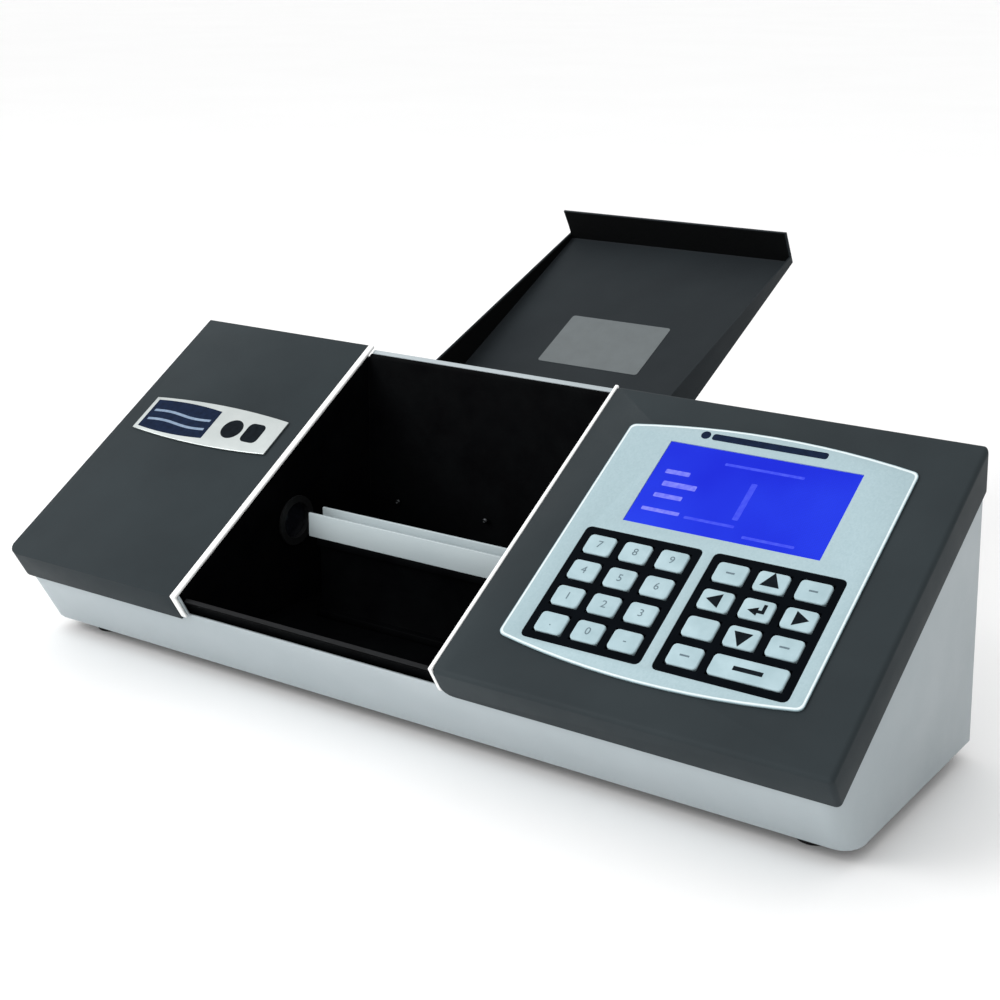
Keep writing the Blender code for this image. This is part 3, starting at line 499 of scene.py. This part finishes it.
def slab(shape, low, high, corner=0.0, steps=4):
    """Add a box to an edit mesh, with its upright corners rounded."""
    low, high = Vector(low), Vector(high)
    made = bmesh.ops.create_cube(shape, size=1.0)["verts"]
    bmesh.ops.scale(shape, vec=high - low, verts=made)
    bmesh.ops.translate(shape, vec=(low + high) / 2, verts=made)
    if corner:
        edges = {edge for vert in made for edge in vert.link_edges}
        upright = [edge for edge in edges
                   if abs(edge.verts[0].co.z - edge.verts[1].co.z) > (high.z - low.z) / 2]
        bmesh.ops.bevel(shape, geom=upright, offset=corner, segments=steps, profile=0.5,
                        affect="EDGES")


def wall(shape, first, second):
    """Join two closed rings of points with faces."""
    for index in range(len(first)):
        after = (index + 1) % len(first)
        shape.faces.new((first[index], first[after], second[after], second[index]))


def prism(shape, outline, bottom, top):
    """Add a flat outline raised to a thickness."""
    lower = [shape.verts.new((x, y, bottom)) for x, y in outline]
    upper = [shape.verts.new((x, y, top)) for x, y in outline]
    shape.faces.new(lower[::-1])
    shape.faces.new(upper)
    wall(shape, lower, upper)


def band(shape, outer, inner, bottom, top):
    """Add the flat ring between two outlines with the same number of points."""
    rings = []
    for outline, level in ((outer, bottom), (outer, top), (inner, top), (inner, bottom)):
        rings.append([shape.verts.new((x, y, level)) for x, y in outline])
    for first, second in zip(rings, rings[1:] + rings[:1]):
        wall(shape, first, second)


def disc(centre, radius, steps=32, start=0.0, sweep=360.0):
    """Points round a circle or part of one."""
    count = steps if sweep >= 360 else steps + 1
    points = []
    for step in range(count):
        angle = math.radians(start + sweep * step / steps)
        points.append((centre[0] + radius * math.cos(angle), centre[1] + radius * math.sin(angle)))
    return points


def closed(shape):
    """Merge doubles and turn every face outwards."""
    bmesh.ops.remove_doubles(shape, verts=shape.verts, dist=0.000001)
    bmesh.ops.recalc_face_normals(shape, faces=shape.faces)


def bowed(left, right, front, back, bulge, steps=12):
    """A rectangle whose front and back edges bow outwards, as on the badge and the fascia."""
    points = []
    for step in range(steps + 1):
        ride = step / steps
        rise = bulge * 4 * ride * (1 - ride)
        points.append((left + (right - left) * ride, front - rise))
    for step in range(steps + 1):
        ride = 1 - step / steps
        rise = bulge * 4 * ride * (1 - ride)
        points.append((left + (right - left) * ride, back + rise))
    return points


def rounded(outline, radius, steps=5):
    """The same outline with its sharp corners eased over a radius."""
    points = []
    for index, here in enumerate(outline):
        before = Vector(outline[index - 1])
        after = Vector(outline[(index + 1) % len(outline)])
        corner = Vector(here)
        inward, outward = (before - corner).normalized(), (after - corner).normalized()
        if inward.dot(outward) < -0.7:
            points.append(here)
            continue
        start, end = corner + inward * radius, corner + outward * radius
        for step in range(steps + 1):
            ride = step / steps
            points.append(tuple(start * (1 - ride) ** 2 + corner * 2 * ride * (1 - ride)
                                + end * ride ** 2))
    return points


# ---------------------------------------------------------------- folded sheet and mouldings

soften("case_shell", PALE_COAT, 0.0008)
soften("left_cover", DARK_COAT, 0.0003, bend=0.0026)
soften("right_cover", DARK_COAT, 0.0003, bend=0.0026)
# The lid gets the darker coat, whose colour paints the shade on the open lid.
soften("lid", SHADED_LID_COAT, 0.0003, body="lid", bend=0.0022)
soften("rear_rail", PALE_COAT, 0.0005)
soften("trim_left", TRIM_COAT, 0.0005)
soften("trim_right", TRIM_COAT, 0.0004)
soften("chamber_liner", BLACK_COAT, 0.0006)
soften("cell_trough", TROUGH_COAT, 0.0004, body="cell_trough")
soften("trough_support", BLACK_COAT, 0.0005)
soften("badge_plate", BADGE_METAL, 0.0003)
soften("fascia", FILM, 0.0002, corner=FASCIA_CORNER)
soften("power_inlet", BLACK_ABS, 0.0005)
soften("data_socket", STEEL, 0.0003)
for side in ("left", "right"):
    soften("lid_arm_" + side, BLACK_ABS, 0.0005, body="lid")
    soften("hinge_ear_" + side, STEEL, 0.0004)

for key in [name for name in NODES if "_key_" in name]:
    soften(key, KEY_COAT, 0.00018, body=key)
dress(KEY_FRAME, "number_frame", "function_frame")
dress(SCREEN, "screen")
dress(PALE_COAT, "rear_panel")
dress(BLACK_COAT, "base_plate", "lamp_house", "detector")
dress(BLACK_ABS, "port_ring_left", "port_ring_right", "filter_wheel", "power_switch")
dress(STEEL, "hinge_pin", "filter_motor")
dress(RUBBER, "foot_front_left", "foot_front_right", "foot_rear_left", "foot_rear_right")
dress(BOARD, "key_board", "main_board")

# ---------------------------------------------------------------- legends on the keys


DIGIT_SIZE = 0.0062
DASH_DEPTH = 0.0010


def on_key(name):
    """Centre of a key's top face in slope coordinates."""
    low, high = box_in(name, SLOPE_FRAME)
    return (low.x + high.x) / 2, (low.y + high.y) / 2, high.z


def numeral(name, digit):
    """A printed digit on one key."""
    x, s, top = on_key(name)
    text = bpy.data.curves.new(name + "_legend", "FONT")
    text.body = digit
    text.size = DIGIT_SIZE
    text.align_x = "CENTER"
    text.align_y = "CENTER"
    text.extrude = PRINT / 2
    text.resolution_u = 3
    holder = bpy.data.objects.new(name + "_text", text)
    bpy.context.scene.collection.objects.link(holder)
    graph = bpy.context.evaluated_depsgraph_get()
    made = bpy.data.meshes.new_from_object(holder.evaluated_get(graph))
    shape = bmesh.new()
    shape.from_mesh(made)
    bpy.data.objects.remove(holder)
    closed(shape)
    bmesh.ops.translate(shape, vec=(x, s, top + PRINT_MIDDLE), verts=shape.verts)
    new_piece(name + "_legend", shape, SOFT_INK, name, SLOPE_FRAME)


def mark(name, outlines, ink):
    """A printed mark on one key, from outlines drawn about the key's centre."""
    x, s, top = on_key(name)
    shape = bmesh.new()
    for outline in outlines:
        prism(shape, [(x + dx, s + dy) for dx, dy in outline], top + PRINT_BASE, top + PRINT_TOP)
    closed(shape)
    new_piece(name + "_mark", shape, ink, name, SLOPE_FRAME)


def arrow(direction, size=0.0050):
    """A solid triangle that points up, down, left or right."""
    turn = {"right": 0, "up": 90, "left": 180, "down": 270}[direction]
    return disc((0, 0), size, 3, turn)


def dash(width, depth=DASH_DEPTH):
    """A short bar."""
    half, rise = width / 2, depth / 2
    return [(-half, -rise), (half, -rise), (half, rise), (-half, rise)]


for row, digits in enumerate(("789", "456", "123", ".0-"), start=1):
    for column, digit in enumerate(digits, start=1):
        numeral("number_key_%d%d" % (row, column), digit)
RETURN_STEM = [(0.0008, -0.0020), (0.0044, -0.0020), (0.0044, 0.0036), (0.0026, 0.0036),
               (0.0026, -0.0002), (0.0008, -0.0002)]
RETURN_HEAD = [(0.0008, -0.0036), (0.0008, 0.0014), (-0.0044, -0.0011)]
mark("function_key_11", [dash(0.0045)], SOFT_INK)
mark("function_key_12", [arrow("up", 0.0058)], DARK_INK)
mark("function_key_13", [dash(0.0045)], SOFT_INK)
mark("function_key_21", [arrow("left")], DARK_INK)
mark("function_key_22", [RETURN_STEM, RETURN_HEAD], DARK_INK)
mark("function_key_23", [arrow("right")], DARK_INK)
mark("function_key_32", [arrow("down", 0.0056)], DARK_INK)
mark("function_key_33", [dash(0.0050)], SOFT_INK)
mark("function_key_41", [dash(0.0050)], SOFT_INK)
mark("function_key_42", [dash(0.0150, 0.0024)], DARK_INK)

# ---------------------------------------------------------------- screen, fascia and badge


STRIPE_LEFT, STRIPE_RIGHT = 0.0205, 0.022
STRIPE_HALF = 0.0022
STRIPE_CORNER = 0.0015
STRIPE_SHIFT = 0.0005
DOT_LEFT, DOT_SHIFT, DOT_RADIUS = 0.0165, 0.0003, 0.0027
# Insets of the painted highlight band inside the fascia's outline.
HIGHLIGHT_INSETS = (0.0004, 0.0013)
SCREEN_BAR_CORNER = 0.0005
BADGE_SIDE_MARGIN, BADGE_END_MARGIN = 0.003, 0.0050
BADGE_SPLIT = 0.52
BADGE_BULGE = 0.0016
WAVE_LEVELS = (0.30, 0.62)
WAVE_MARGIN, WAVE_THICK, WAVE_SWING = 0.006, 0.0018, 0.0009
SIGN_HALF, SIGN_CORNER = 0.0074, 0.0035
DISC_PLACE, SQUARE_LEFT, SQUARE_RIGHT = 0.155, 0.25, 0.37


def screen_bars(name, bars, ink):
    """Lit bars given as shares of the screen: left, front, right and back edge."""
    low, high = box_in("screen", SLOPE_FRAME)
    wide, deep = high.x - low.x, high.y - low.y
    shape = bmesh.new()
    for left, front, right, back in bars:
        slab(shape, (low.x + wide * left, low.y + deep * front, high.z + PRINT_BASE),
             (low.x + wide * right, low.y + deep * back, high.z + PRINT),
             SCREEN_BAR_CORNER, 2)
    new_piece(name, shape, ink, "case", SLOPE_FRAME)


def screen_readout():
    """A column of plain bars, with fainter axes and a title bar; no lettering."""
    screen_bars("screen_readout", [(0.06, 0.62, 0.19, 0.67), (0.08, 0.47, 0.26, 0.53),
                                   (0.07, 0.33, 0.22, 0.38), (0.05, 0.16, 0.25, 0.20)], SEGMENTS)
    screen_bars("screen_axes", [(0.33, 0.83, 0.74, 0.86), (0.51, 0.24, 0.54, 0.68),
                                (0.28, 0.15, 0.54, 0.18), (0.60, 0.06, 0.86, 0.09)], FAINT_SEGMENTS)


def fascia_stripe():
    """A plain dot and bar along the back of the fascia, where a name would go, and a pale band that paints
    the highlight along the fascia's edge.
    """
    low, high = box_in("screen", SLOPE_FRAME)
    plate_low, plate_high = box_in("fascia", SLOPE_FRAME)
    middle = (high.y + plate_high.y) / 2 + STRIPE_SHIFT
    base, top = plate_high.z + PRINT_BASE, plate_high.z + PRINT_TOP
    shape = bmesh.new()
    slab(shape, (low.x + STRIPE_LEFT, middle - STRIPE_HALF, base),
         (high.x - STRIPE_RIGHT, middle + STRIPE_HALF, top), STRIPE_CORNER, 3)
    prism(shape, disc((low.x + DOT_LEFT, middle + DOT_SHIFT), DOT_RADIUS, 24), base, top)
    new_piece("fascia_stripe", shape, NAVY_INK, "case", SLOPE_FRAME)
    # A pale band just inside the fascia's outline paints the highlight along its edge.
    edge = bmesh.new()
    front, back = plate_low.y + FASCIA_BULGE, plate_high.y - FASCIA_BULGE
    outlines = []
    for inset in HIGHLIGHT_INSETS:
        outline = bowed(plate_low.x + inset, plate_high.x - inset, front + inset, back - inset,
                        FASCIA_BULGE)
        outlines.append(rounded(outline, FASCIA_CORNER))
    band(edge, *outlines, base, plate_high.z + PRINT)
    closed(edge)
    new_piece("fascia_border", edge, EDGE_HIGHLIGHT_PAINT, "case", SLOPE_FRAME)


def badge_print():
    """A navy panel with pale waves, and a disc beside a rounded square: plain shapes only."""
    low, high = box_in("badge_plate", SLOPE_FRAME)
    wide = high.x - low.x
    front, back = low.y + BADGE_END_MARGIN, high.y - BADGE_END_MARGIN
    base, top = high.z + PRINT_BASE, high.z + PRINT_TOP
    split = low.x + wide * BADGE_SPLIT
    shape = bmesh.new()
    outline = bowed(low.x + BADGE_SIDE_MARGIN, split, front, back, BADGE_BULGE)
    prism(shape, outline, base, top)
    closed(shape)
    new_piece("badge_panel", shape, NAVY_INK, "case", SLOPE_FRAME)
    stripes = bmesh.new()
    for level in WAVE_LEVELS:
        middle = front + (back - front) * level
        ripple = wave(low.x + WAVE_MARGIN, split - BADGE_SIDE_MARGIN, middle, WAVE_THICK, WAVE_SWING)
        prism(stripes, ripple, top + PRINT * 0.2, top + PRINT * 1.2)
    closed(stripes)
    new_piece("badge_stripes", stripes, PALE_INK, "case", SLOPE_FRAME)
    middle = (front + back) / 2
    signs = bmesh.new()
    prism(signs, disc((split + wide * DISC_PLACE, middle), SIGN_HALF), base, top)
    slab(signs, (split + wide * SQUARE_LEFT, middle - SIGN_HALF, base),
         (split + wide * SQUARE_RIGHT, middle + SIGN_HALF, top), SIGN_CORNER)
    closed(signs)
    new_piece("badge_signs", signs, DARK_INK, "case", SLOPE_FRAME)


def wave(left, right, middle, thick, swing, steps=16):
    """A band that rises and falls once."""
    lower, upper = [], []
    for step in range(steps + 1):
        x = left + (right - left) * step / steps
        centre = middle + swing * math.sin(math.pi * 2 * step / steps)
        lower.append((x, centre - thick / 2))
        upper.append((x, centre + thick / 2))
    return lower + upper[::-1]


LABEL_FRONT_LEFT, LABEL_REAR_RIGHT = (0.1835, -0.1245), (0.2560, -0.0765)
LABEL_GAP, LABEL_DEPTH, LABEL_CORNER = 0.00002, 0.00022, 0.002
# Sizes of the near-black strips that paint the shade inside the lid's lip and flanges.
SHADE_SHEET_THICK, SHADE_SHEET_EDGE = 0.0005, 0.0004
SHADE_SHEET_FRONT_DROP, SHADE_SHEET_REAR_DROP = 0.0046, 0.0214
SHADE_SHEET_REAR, SHADE_SHEET_FOOT = -0.0354, -0.0324


def lid_label():
    """The blank label stuck on the inside of the lid."""
    inner = box_in("lid", LID_FRAME)[1].z - COVER_SHEET
    shape = bmesh.new()
    slab(shape, (*LABEL_FRONT_LEFT, inner - LABEL_DEPTH), (*LABEL_REAR_RIGHT, inner - LABEL_GAP),
         LABEL_CORNER)
    new_piece("lid_label", shape, LABEL, "lid", LID_FRAME)


def lid_felt():
    """Near-black strips on the inner faces of the lid's front lip and side flanges. They are painted shade
    where those faces lie in shadow.
    """
    low, high = box_in("lid", LID_FRAME)
    left, right = low.x + COVER_SHEET, high.x - COVER_SHEET
    inner = high.z - COVER_SHEET - SHADE_SHEET_EDGE
    front = low.y + COVER_SHEET
    shape = bmesh.new()
    slab(shape, (left, front, low.z + SHADE_SHEET_EDGE), (right, front + SHADE_SHEET_THICK, inner))
    profile = [(front + SHADE_SHEET_THICK, inner), (front + SHADE_SHEET_THICK, high.z - SHADE_SHEET_FRONT_DROP),
               (SHADE_SHEET_REAR, high.z - SHADE_SHEET_REAR_DROP), (SHADE_SHEET_FOOT, inner)]
    for start in (left, right - SHADE_SHEET_THICK):
        rings = []
        for x in (start, start + SHADE_SHEET_THICK):
            rings.append([shape.verts.new((x, s, n)) for s, n in profile])
        shape.faces.new(rings[0])
        shape.faces.new(rings[1][::-1])
        wall(shape, *rings)
    bmesh.ops.recalc_face_normals(shape, faces=shape.faces)
    new_piece("lid_felt", shape, SHADE_SHEET_PAINT, "lid", LID_FRAME)


screen_readout()
fascia_stripe()
badge_print()
lid_label()
lid_felt()

# ---------------------------------------------------------------- ports and sockets


WINDOW_RADIUS, WINDOW_THICK, WINDOW_CHAMFER = 0.0102, 0.002, 0.0003
SEAL_INSET = 0.002
SEAL_FRONT, SEAL_REAR = 0.0038, 0.0060
SEAL_FOOT, SEAL_CREST, SEAL_ROUND = -0.0075, -0.0062, 0.0008
SOCKET_FLOOR = 0.0022
BLADE_PLACES = ((-0.007, -0.002), (0.007, -0.002), (0.0, 0.003))
BLADE_HALF_WIDTH, BLADE_HALF_HEIGHT, BLADE_LENGTH, BLADE_ROUND = 0.0010, 0.002, 0.012, 0.0003
PIN_ROWS = ((-0.0013, 5), (0.0013, 4))
PIN_PITCH, PIN_LENGTH, PIN_RADIUS, PIN_TIP = 0.0026, 0.006, 0.0005, 0.0004


def port_windows():
    """A coated glass disc in each port ring, with its rim ground to a small chamfer."""
    for side in ("left", "right"):
        low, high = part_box("port_ring_" + side)
        centre = (low + high) / 2
        shape = bmesh.new()
        bmesh.ops.create_cone(shape, cap_ends=True, segments=40, radius1=WINDOW_RADIUS,
                              radius2=WINDOW_RADIUS, depth=WINDOW_THICK)
        rim = hard(shape, CORNER_TURN)
        bmesh.ops.bevel(shape, geom=rim, offset=WINDOW_CHAMFER, segments=2, profile=0.5, affect="EDGES")
        place = Matrix.Translation(centre) @ Matrix.Rotation(math.pi / 2, 4, "Y")
        new_piece("port_window_" + side, shape, GLASS, "case", place)


def chamber_seal():
    """A rubber bead on the chamber's front ledge, under the closed lid."""
    low, high = box_in("chamber_liner", SLOPE_FRAME)
    shape = bmesh.new()
    slab(shape, (low.x + SEAL_INSET, SEAL_FRONT, SEAL_FOOT),
         (high.x - SEAL_INSET, SEAL_REAR, SEAL_CREST))
    middle = (SEAL_FOOT + SEAL_CREST) / 2
    upper = [edge for edge in shape.edges if all(vert.co.z > middle for vert in edge.verts)]
    round_edges(shape, upper, SEAL_ROUND, 4)
    new_piece("chamber_seal", shape, RUBBER, "case", SLOPE_FRAME)


def contacts():
    """Flat blades in the power inlet and round pins in the data socket."""
    low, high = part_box("power_inlet")
    centre = (low + high) / 2
    floor = low.y + SOCKET_FLOOR
    shape = bmesh.new()
    for dx, dz in BLADE_PLACES:
        x, z = centre.x + dx, centre.z + dz
        slab(shape, (x - BLADE_HALF_WIDTH, floor, z - BLADE_HALF_HEIGHT),
             (x + BLADE_HALF_WIDTH, floor + BLADE_LENGTH, z + BLADE_HALF_HEIGHT))
    bmesh.ops.bevel(shape, geom=list(shape.edges), offset=BLADE_ROUND, segments=2, profile=0.5,
                    affect="EDGES")
    new_piece("inlet_blades", shape, STEEL)
    low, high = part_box("data_socket")
    centre = (low + high) / 2
    floor = low.y + SOCKET_FLOOR
    pins = bmesh.new()
    turn = Matrix.Rotation(-math.pi / 2, 4, "X")
    for row, count in PIN_ROWS:
        for index in range(count):
            x = centre.x + (index - (count - 1) / 2) * PIN_PITCH
            made = bmesh.ops.create_cone(pins, cap_ends=True, segments=10, radius1=PIN_RADIUS,
                                         radius2=PIN_TIP, depth=PIN_LENGTH)["verts"]
            spot = Matrix.Translation((x, floor + PIN_LENGTH / 2, centre.z + row))
            bmesh.ops.transform(pins, matrix=spot @ turn, verts=made)
    new_piece("data_pins", pins, STEEL)


port_windows()
chamber_seal()
contacts()

# ---------------------------------------------------------------- screws and louvres


SCREW_PROFILE = ((0.5, 0.0), (0.5, 0.10), (0.46, 0.19), (0.34, 0.27), (0.24, 0.30))
SCREW_SIDES = 16
CROSS_REACH, CROSS_WAIST, CROSS_FLOOR = 0.20, 0.07, 0.14
LOUVRE_STATIONS, LOUVRE_ARCH = 10, 8
LOUVRE_HALF_WIDTH, LOUVRE_RISE = 0.09, 0.07
PANEL_SCREW, FLOOR_SCREW, WALL_SCREW = 0.0055, 0.005, 0.0035
SCREW_INSET = 0.007
SCREW_COLUMNS = 5
LOUVRE_COLUMNS = (0.040, 0.070)
LOUVRE_START, LOUVRE_PITCH, LOUVRE_ROWS, LOUVRE_LENGTH = 0.050, 0.009, 8, 0.024
PLATE_HALF_WIDTH, PLATE_HALF_HEIGHT, PLATE_THICK = 0.024, 0.014, 0.0005
PLATE_PLACE = (0.440, 0.095)


def screw_head():
    """A domed screw head one unit across with a cross recess, looking along +Z."""
    shape = bmesh.new()
    loops = []
    for radius, height in SCREW_PROFILE:
        ring = disc((0, 0), radius, SCREW_SIDES)
        loops.append([shape.verts.new((x, y, height)) for x, y in ring])
    for lower, upper in zip(loops, loops[1:]):
        wall(shape, lower, upper)
    recess = []
    for index in range(SCREW_SIDES):
        reach = CROSS_REACH if index % 4 == 0 else CROSS_WAIST
        angle = math.tau * index / SCREW_SIDES
        recess.append(shape.verts.new((reach * math.cos(angle), reach * math.sin(angle), CROSS_FLOOR)))
    wall(shape, loops[-1], recess)
    shape.faces.new(recess)
    shape.faces.new(list(reversed(loops[0])))
    closed(shape)
    return shape


def louvre():
    """A pressed louvre one unit long: a half-capsule hood with a closed back."""
    shape = bmesh.new()
    loops = []
    for station in range(LOUVRE_STATIONS + 1):
        ride = station / LOUVRE_STATIONS
        swell = max(0.02, math.sin(math.pi * ride)) ** 0.35
        arch = disc((0, 0), 1.0, LOUVRE_ARCH, 0, 180)
        loops.append([shape.verts.new((ride - 0.5, LOUVRE_HALF_WIDTH * swell * y, LOUVRE_RISE * swell * z))
                      for y, z in arch])
    for first, second in zip(loops, loops[1:]):
        for index in range(LOUVRE_ARCH):
            shape.faces.new((first[index], first[index + 1], second[index + 1], second[index]))
        shape.faces.new((first[-1], first[0], second[0], second[-1]))
    shape.faces.new(loops[0])
    shape.faces.new(list(reversed(loops[-1])))
    closed(shape)
    return shape


def scatter_tree():
    """Geometry nodes that stand a shape on every point, sized and turned alike."""
    tree = bpy.data.node_groups.new("set_on_points", "GeometryNodeTree")
    sockets = (("Points", "NodeSocketGeometry"), ("Shape", "NodeSocketObject"),
               ("Size", "NodeSocketFloat"), ("Turn", "NodeSocketRotation"),
               ("Finish", "NodeSocketMaterial"))
    for name, kind in sockets:
        tree.interface.new_socket(name, in_out="INPUT", socket_type=kind)
    tree.interface.new_socket("Geometry", in_out="OUTPUT", socket_type="NodeSocketGeometry")
    given = add(tree, "NodeGroupInput").outputs
    shape = add(tree, "GeometryNodeObjectInfo", {"Object": given["Shape"]})
    points = add(tree, "GeometryNodeMeshToPoints", {"Mesh": given["Points"]})
    spread_out = add(tree, "GeometryNodeInstanceOnPoints", {
        "Points": points.outputs["Points"], "Instance": shape.outputs["Geometry"],
        "Rotation": given["Turn"], "Scale": given["Size"]})
    real = add(tree, "GeometryNodeRealizeInstances", {"Geometry": spread_out.outputs["Instances"]})
    coated = add(tree, "GeometryNodeSetMaterial", {"Geometry": real.outputs["Geometry"],
                                                   "Material": given["Finish"]})
    add(tree, "NodeGroupOutput", {"Geometry": coated.outputs["Geometry"]})
    return tree


def set_on_points(name, shape, points, size, turn, material):
    """Repeat a small shape at points on the case by geometry nodes, as one plain mesh."""
    source_mesh = bpy.data.meshes.new(name + "_source")
    shape.to_mesh(source_mesh)
    shape.free()
    source = bpy.data.objects.new(name + "_source", source_mesh)
    bpy.context.scene.collection.objects.link(source)
    carrier_mesh = bpy.data.meshes.new(name + "_points")
    carrier_mesh.from_pydata([tuple(point) for point in points], [], [])
    carrier = bpy.data.objects.new(name + "_points", carrier_mesh)
    bpy.context.scene.collection.objects.link(carrier)
    modifier = carrier.modifiers.new("set_on_points", "NODES")
    modifier.node_group = SCATTER
    given = {"Shape": source, "Size": size, "Turn": turn, "Finish": material}
    for item in SCATTER.interface.items_tree:
        if item.in_out == "INPUT" and item.name in given:
            modifier[item.identifier] = given[item.name]
    graph = bpy.context.evaluated_depsgraph_get()
    mesh = bpy.data.meshes.new_from_object(carrier.evaluated_get(graph))
    bpy.data.objects.remove(carrier)
    bpy.data.objects.remove(source)
    if not mesh.materials:
        mesh.materials.append(material)
    finish_piece(name, mesh, "case")


SCATTER = scatter_tree()


def even_places(start, end, count):
    """Places spaced evenly from one end to the other."""
    return [start + (end - start) * step / (count - 1) for step in range(count)]


def panel_screws():
    """Screws round the rear panel, under the base and in the chamber's walls."""
    low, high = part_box("rear_panel")
    face = high.y + ON_PANEL
    columns = even_places(low.x + SCREW_INSET, high.x - SCREW_INSET, SCREW_COLUMNS)
    points = [(x, face, z) for x in columns for z in (low.z + SCREW_INSET, high.z - SCREW_INSET - 0.006)]
    set_on_points("rear_panel_screws", screw_head(), points, PANEL_SCREW, (-math.pi / 2, 0, 0),
                  DARK_STEEL)
    low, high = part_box("base_plate")
    under = low.z - ON_PANEL
    inset = SCREW_INSET + 0.004
    columns = even_places(low.x + inset, high.x - inset, SCREW_COLUMNS)
    rows = (low.y + SCREW_INSET + 0.005, high.y - SCREW_INSET)
    points = [(x, y, under) for x in columns for y in rows]
    set_on_points("base_plate_screws", screw_head(), points, PANEL_SCREW, (math.pi, 0, 0),
                  DARK_STEEL)
    low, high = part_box("chamber_liner")
    floor = low.z + 0.0016
    points = [(x, y, floor) for x in (low.x + 0.014, high.x - 0.014)
              for y in (low.y + 0.034, high.y - 0.014)]
    set_on_points("chamber_screws", screw_head(), points, FLOOR_SCREW, (0, 0, 0), STEEL)
    points = [(x, high.y - 0.0052, 0.070) for x in (low.x + 0.024, high.x - 0.084)]
    set_on_points("chamber_wall_screws", screw_head(), points, WALL_SCREW, (math.pi / 2, 0, 0),
                  DARK_STEEL)


def louvres():
    """Two banks of pressed louvres that let the lamp's heat out through the rear panel."""
    low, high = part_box("rear_panel")
    face = high.y + ON_PANEL
    points = []
    for column in LOUVRE_COLUMNS:
        points += [(low.x + column, face, low.z + LOUVRE_START + LOUVRE_PITCH * row)
                   for row in range(LOUVRE_ROWS)]
    set_on_points("rear_louvres", louvre(), points, LOUVRE_LENGTH, (-math.pi / 2, 0, 0), PALE_COAT)


def rating_plate():
    """A blank aluminium plate on the rear panel, above the sockets."""
    low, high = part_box("rear_panel")
    shape = bmesh.new()
    slab(shape, (-PLATE_HALF_WIDTH, -PLATE_HALF_HEIGHT, 0.0),
         (PLATE_HALF_WIDTH, PLATE_HALF_HEIGHT, PLATE_THICK), 0.002)
    edges = [edge for edge in shape.edges if all(vert.co.z > PLATE_THICK / 2 for vert in edge.verts)]
    bmesh.ops.bevel(shape, geom=edges, offset=0.00015, segments=1, profile=0.5, affect="EDGES")
    place = (Matrix.Translation((low.x + PLATE_PLACE[0], high.y + ON_PANEL, low.z + PLATE_PLACE[1]))
             @ Matrix.Rotation(-math.pi / 2, 4, "X"))
    new_piece("rating_plate", shape, BADGE_METAL, "case", place)


panel_screws()
louvres()
rating_plate()

# ---------------------------------------------------------------- studio and camera


FLOOR_HALF, FLOOR_GAP = 20.0, 0.0002
LIGHT_LEFT, LIGHT_RIGHT = 1.12, 0.42


def studio_floor():
    """A seamless pale table top."""
    shape = bmesh.new()
    bmesh.ops.create_grid(shape, x_segments=1, y_segments=1, size=FLOOR_HALF)
    mesh = bpy.data.meshes.new("floor")
    shape.to_mesh(mesh)
    shape.free()
    material, tree, shader, place = new_finish("white_table_laminate")
    tint(tree, shader, noise(tree, place, 400, 3), "FDFDFD", "FFFFFF")
    shader.inputs["Roughness"].default_value = 0.6
    shader.inputs["Specular IOR Level"].default_value = 0.2
    mesh.materials.append(material)
    floor = bpy.data.objects.new("floor", mesh)
    floor.location.z = -FLOOR_GAP
    bpy.context.scene.collection.objects.link(floor)


def soft_light(name, place, aim, size, power):
    """A square soft box pointed at a spot."""
    lamp = bpy.data.lights.new(name, "AREA")
    lamp.size = size
    lamp.energy = power
    light = bpy.data.objects.new(name, lamp)
    light.location = place
    light.rotation_euler = (Vector(aim) - Vector(place)).to_track_quat("-Z", "Y").to_euler()
    bpy.context.scene.collection.objects.link(light)


def studio_light():
    """White surroundings, dimmer to the right, with a broad key light over the left shoulder."""
    world = bpy.data.worlds.new("studio")
    world.use_nodes = True
    backdrop = world.node_tree.nodes["Background"]
    backdrop.inputs["Color"].default_value = (1.0, 1.0, 1.0, 1.0)
    toward = add(world.node_tree, "ShaderNodeTexCoord")
    parts = add(world.node_tree, "ShaderNodeSeparateXYZ", {"Vector": toward.outputs["Generated"]})
    level = add(world.node_tree, "ShaderNodeMapRange", {
        "Value": parts.outputs["X"], "From Min": 0.0, "From Max": 1.0,
        "To Min": LIGHT_LEFT, "To Max": LIGHT_RIGHT})
    world.node_tree.links.new(level.outputs["Result"], backdrop.inputs["Strength"])
    bpy.context.scene.world = world
    soft_light("key_light", (-1.2, -1.7, 1.2), (0.0, 0.0, 0.1), 1.2, 26)
    soft_light("fill_light", (1.6, -0.8, 1.4), (0.1, 0.0, 0.1), 1.4, 1.5)


CAMERA_PLACE = (0.5439, -0.8599, 0.4053)
CAMERA_HEADING = math.radians(34.54)
CAMERA_DIP = math.radians(11.4)
SENSOR_MM = 36.0
LENS_MM = 65.448
LENS_DROP = 0.2


def camera():
    """A view from the right front, slightly above, with the lens lowered to keep uprights straight."""
    data = bpy.data.cameras.new("camera")
    data.sensor_width = SENSOR_MM
    data.lens = LENS_MM
    data.shift_y = -LENS_DROP
    data.clip_start = 0.05
    seen = bpy.data.objects.new("camera", data)
    seen.location = CAMERA_PLACE
    seen.rotation_euler = (math.pi / 2 - CAMERA_DIP, 0, CAMERA_HEADING)
    bpy.context.scene.collection.objects.link(seen)
    bpy.context.scene.camera = seen


studio_floor()
studio_light()
camera()
bpy.context.scene.view_settings.view_transform = "Standard"
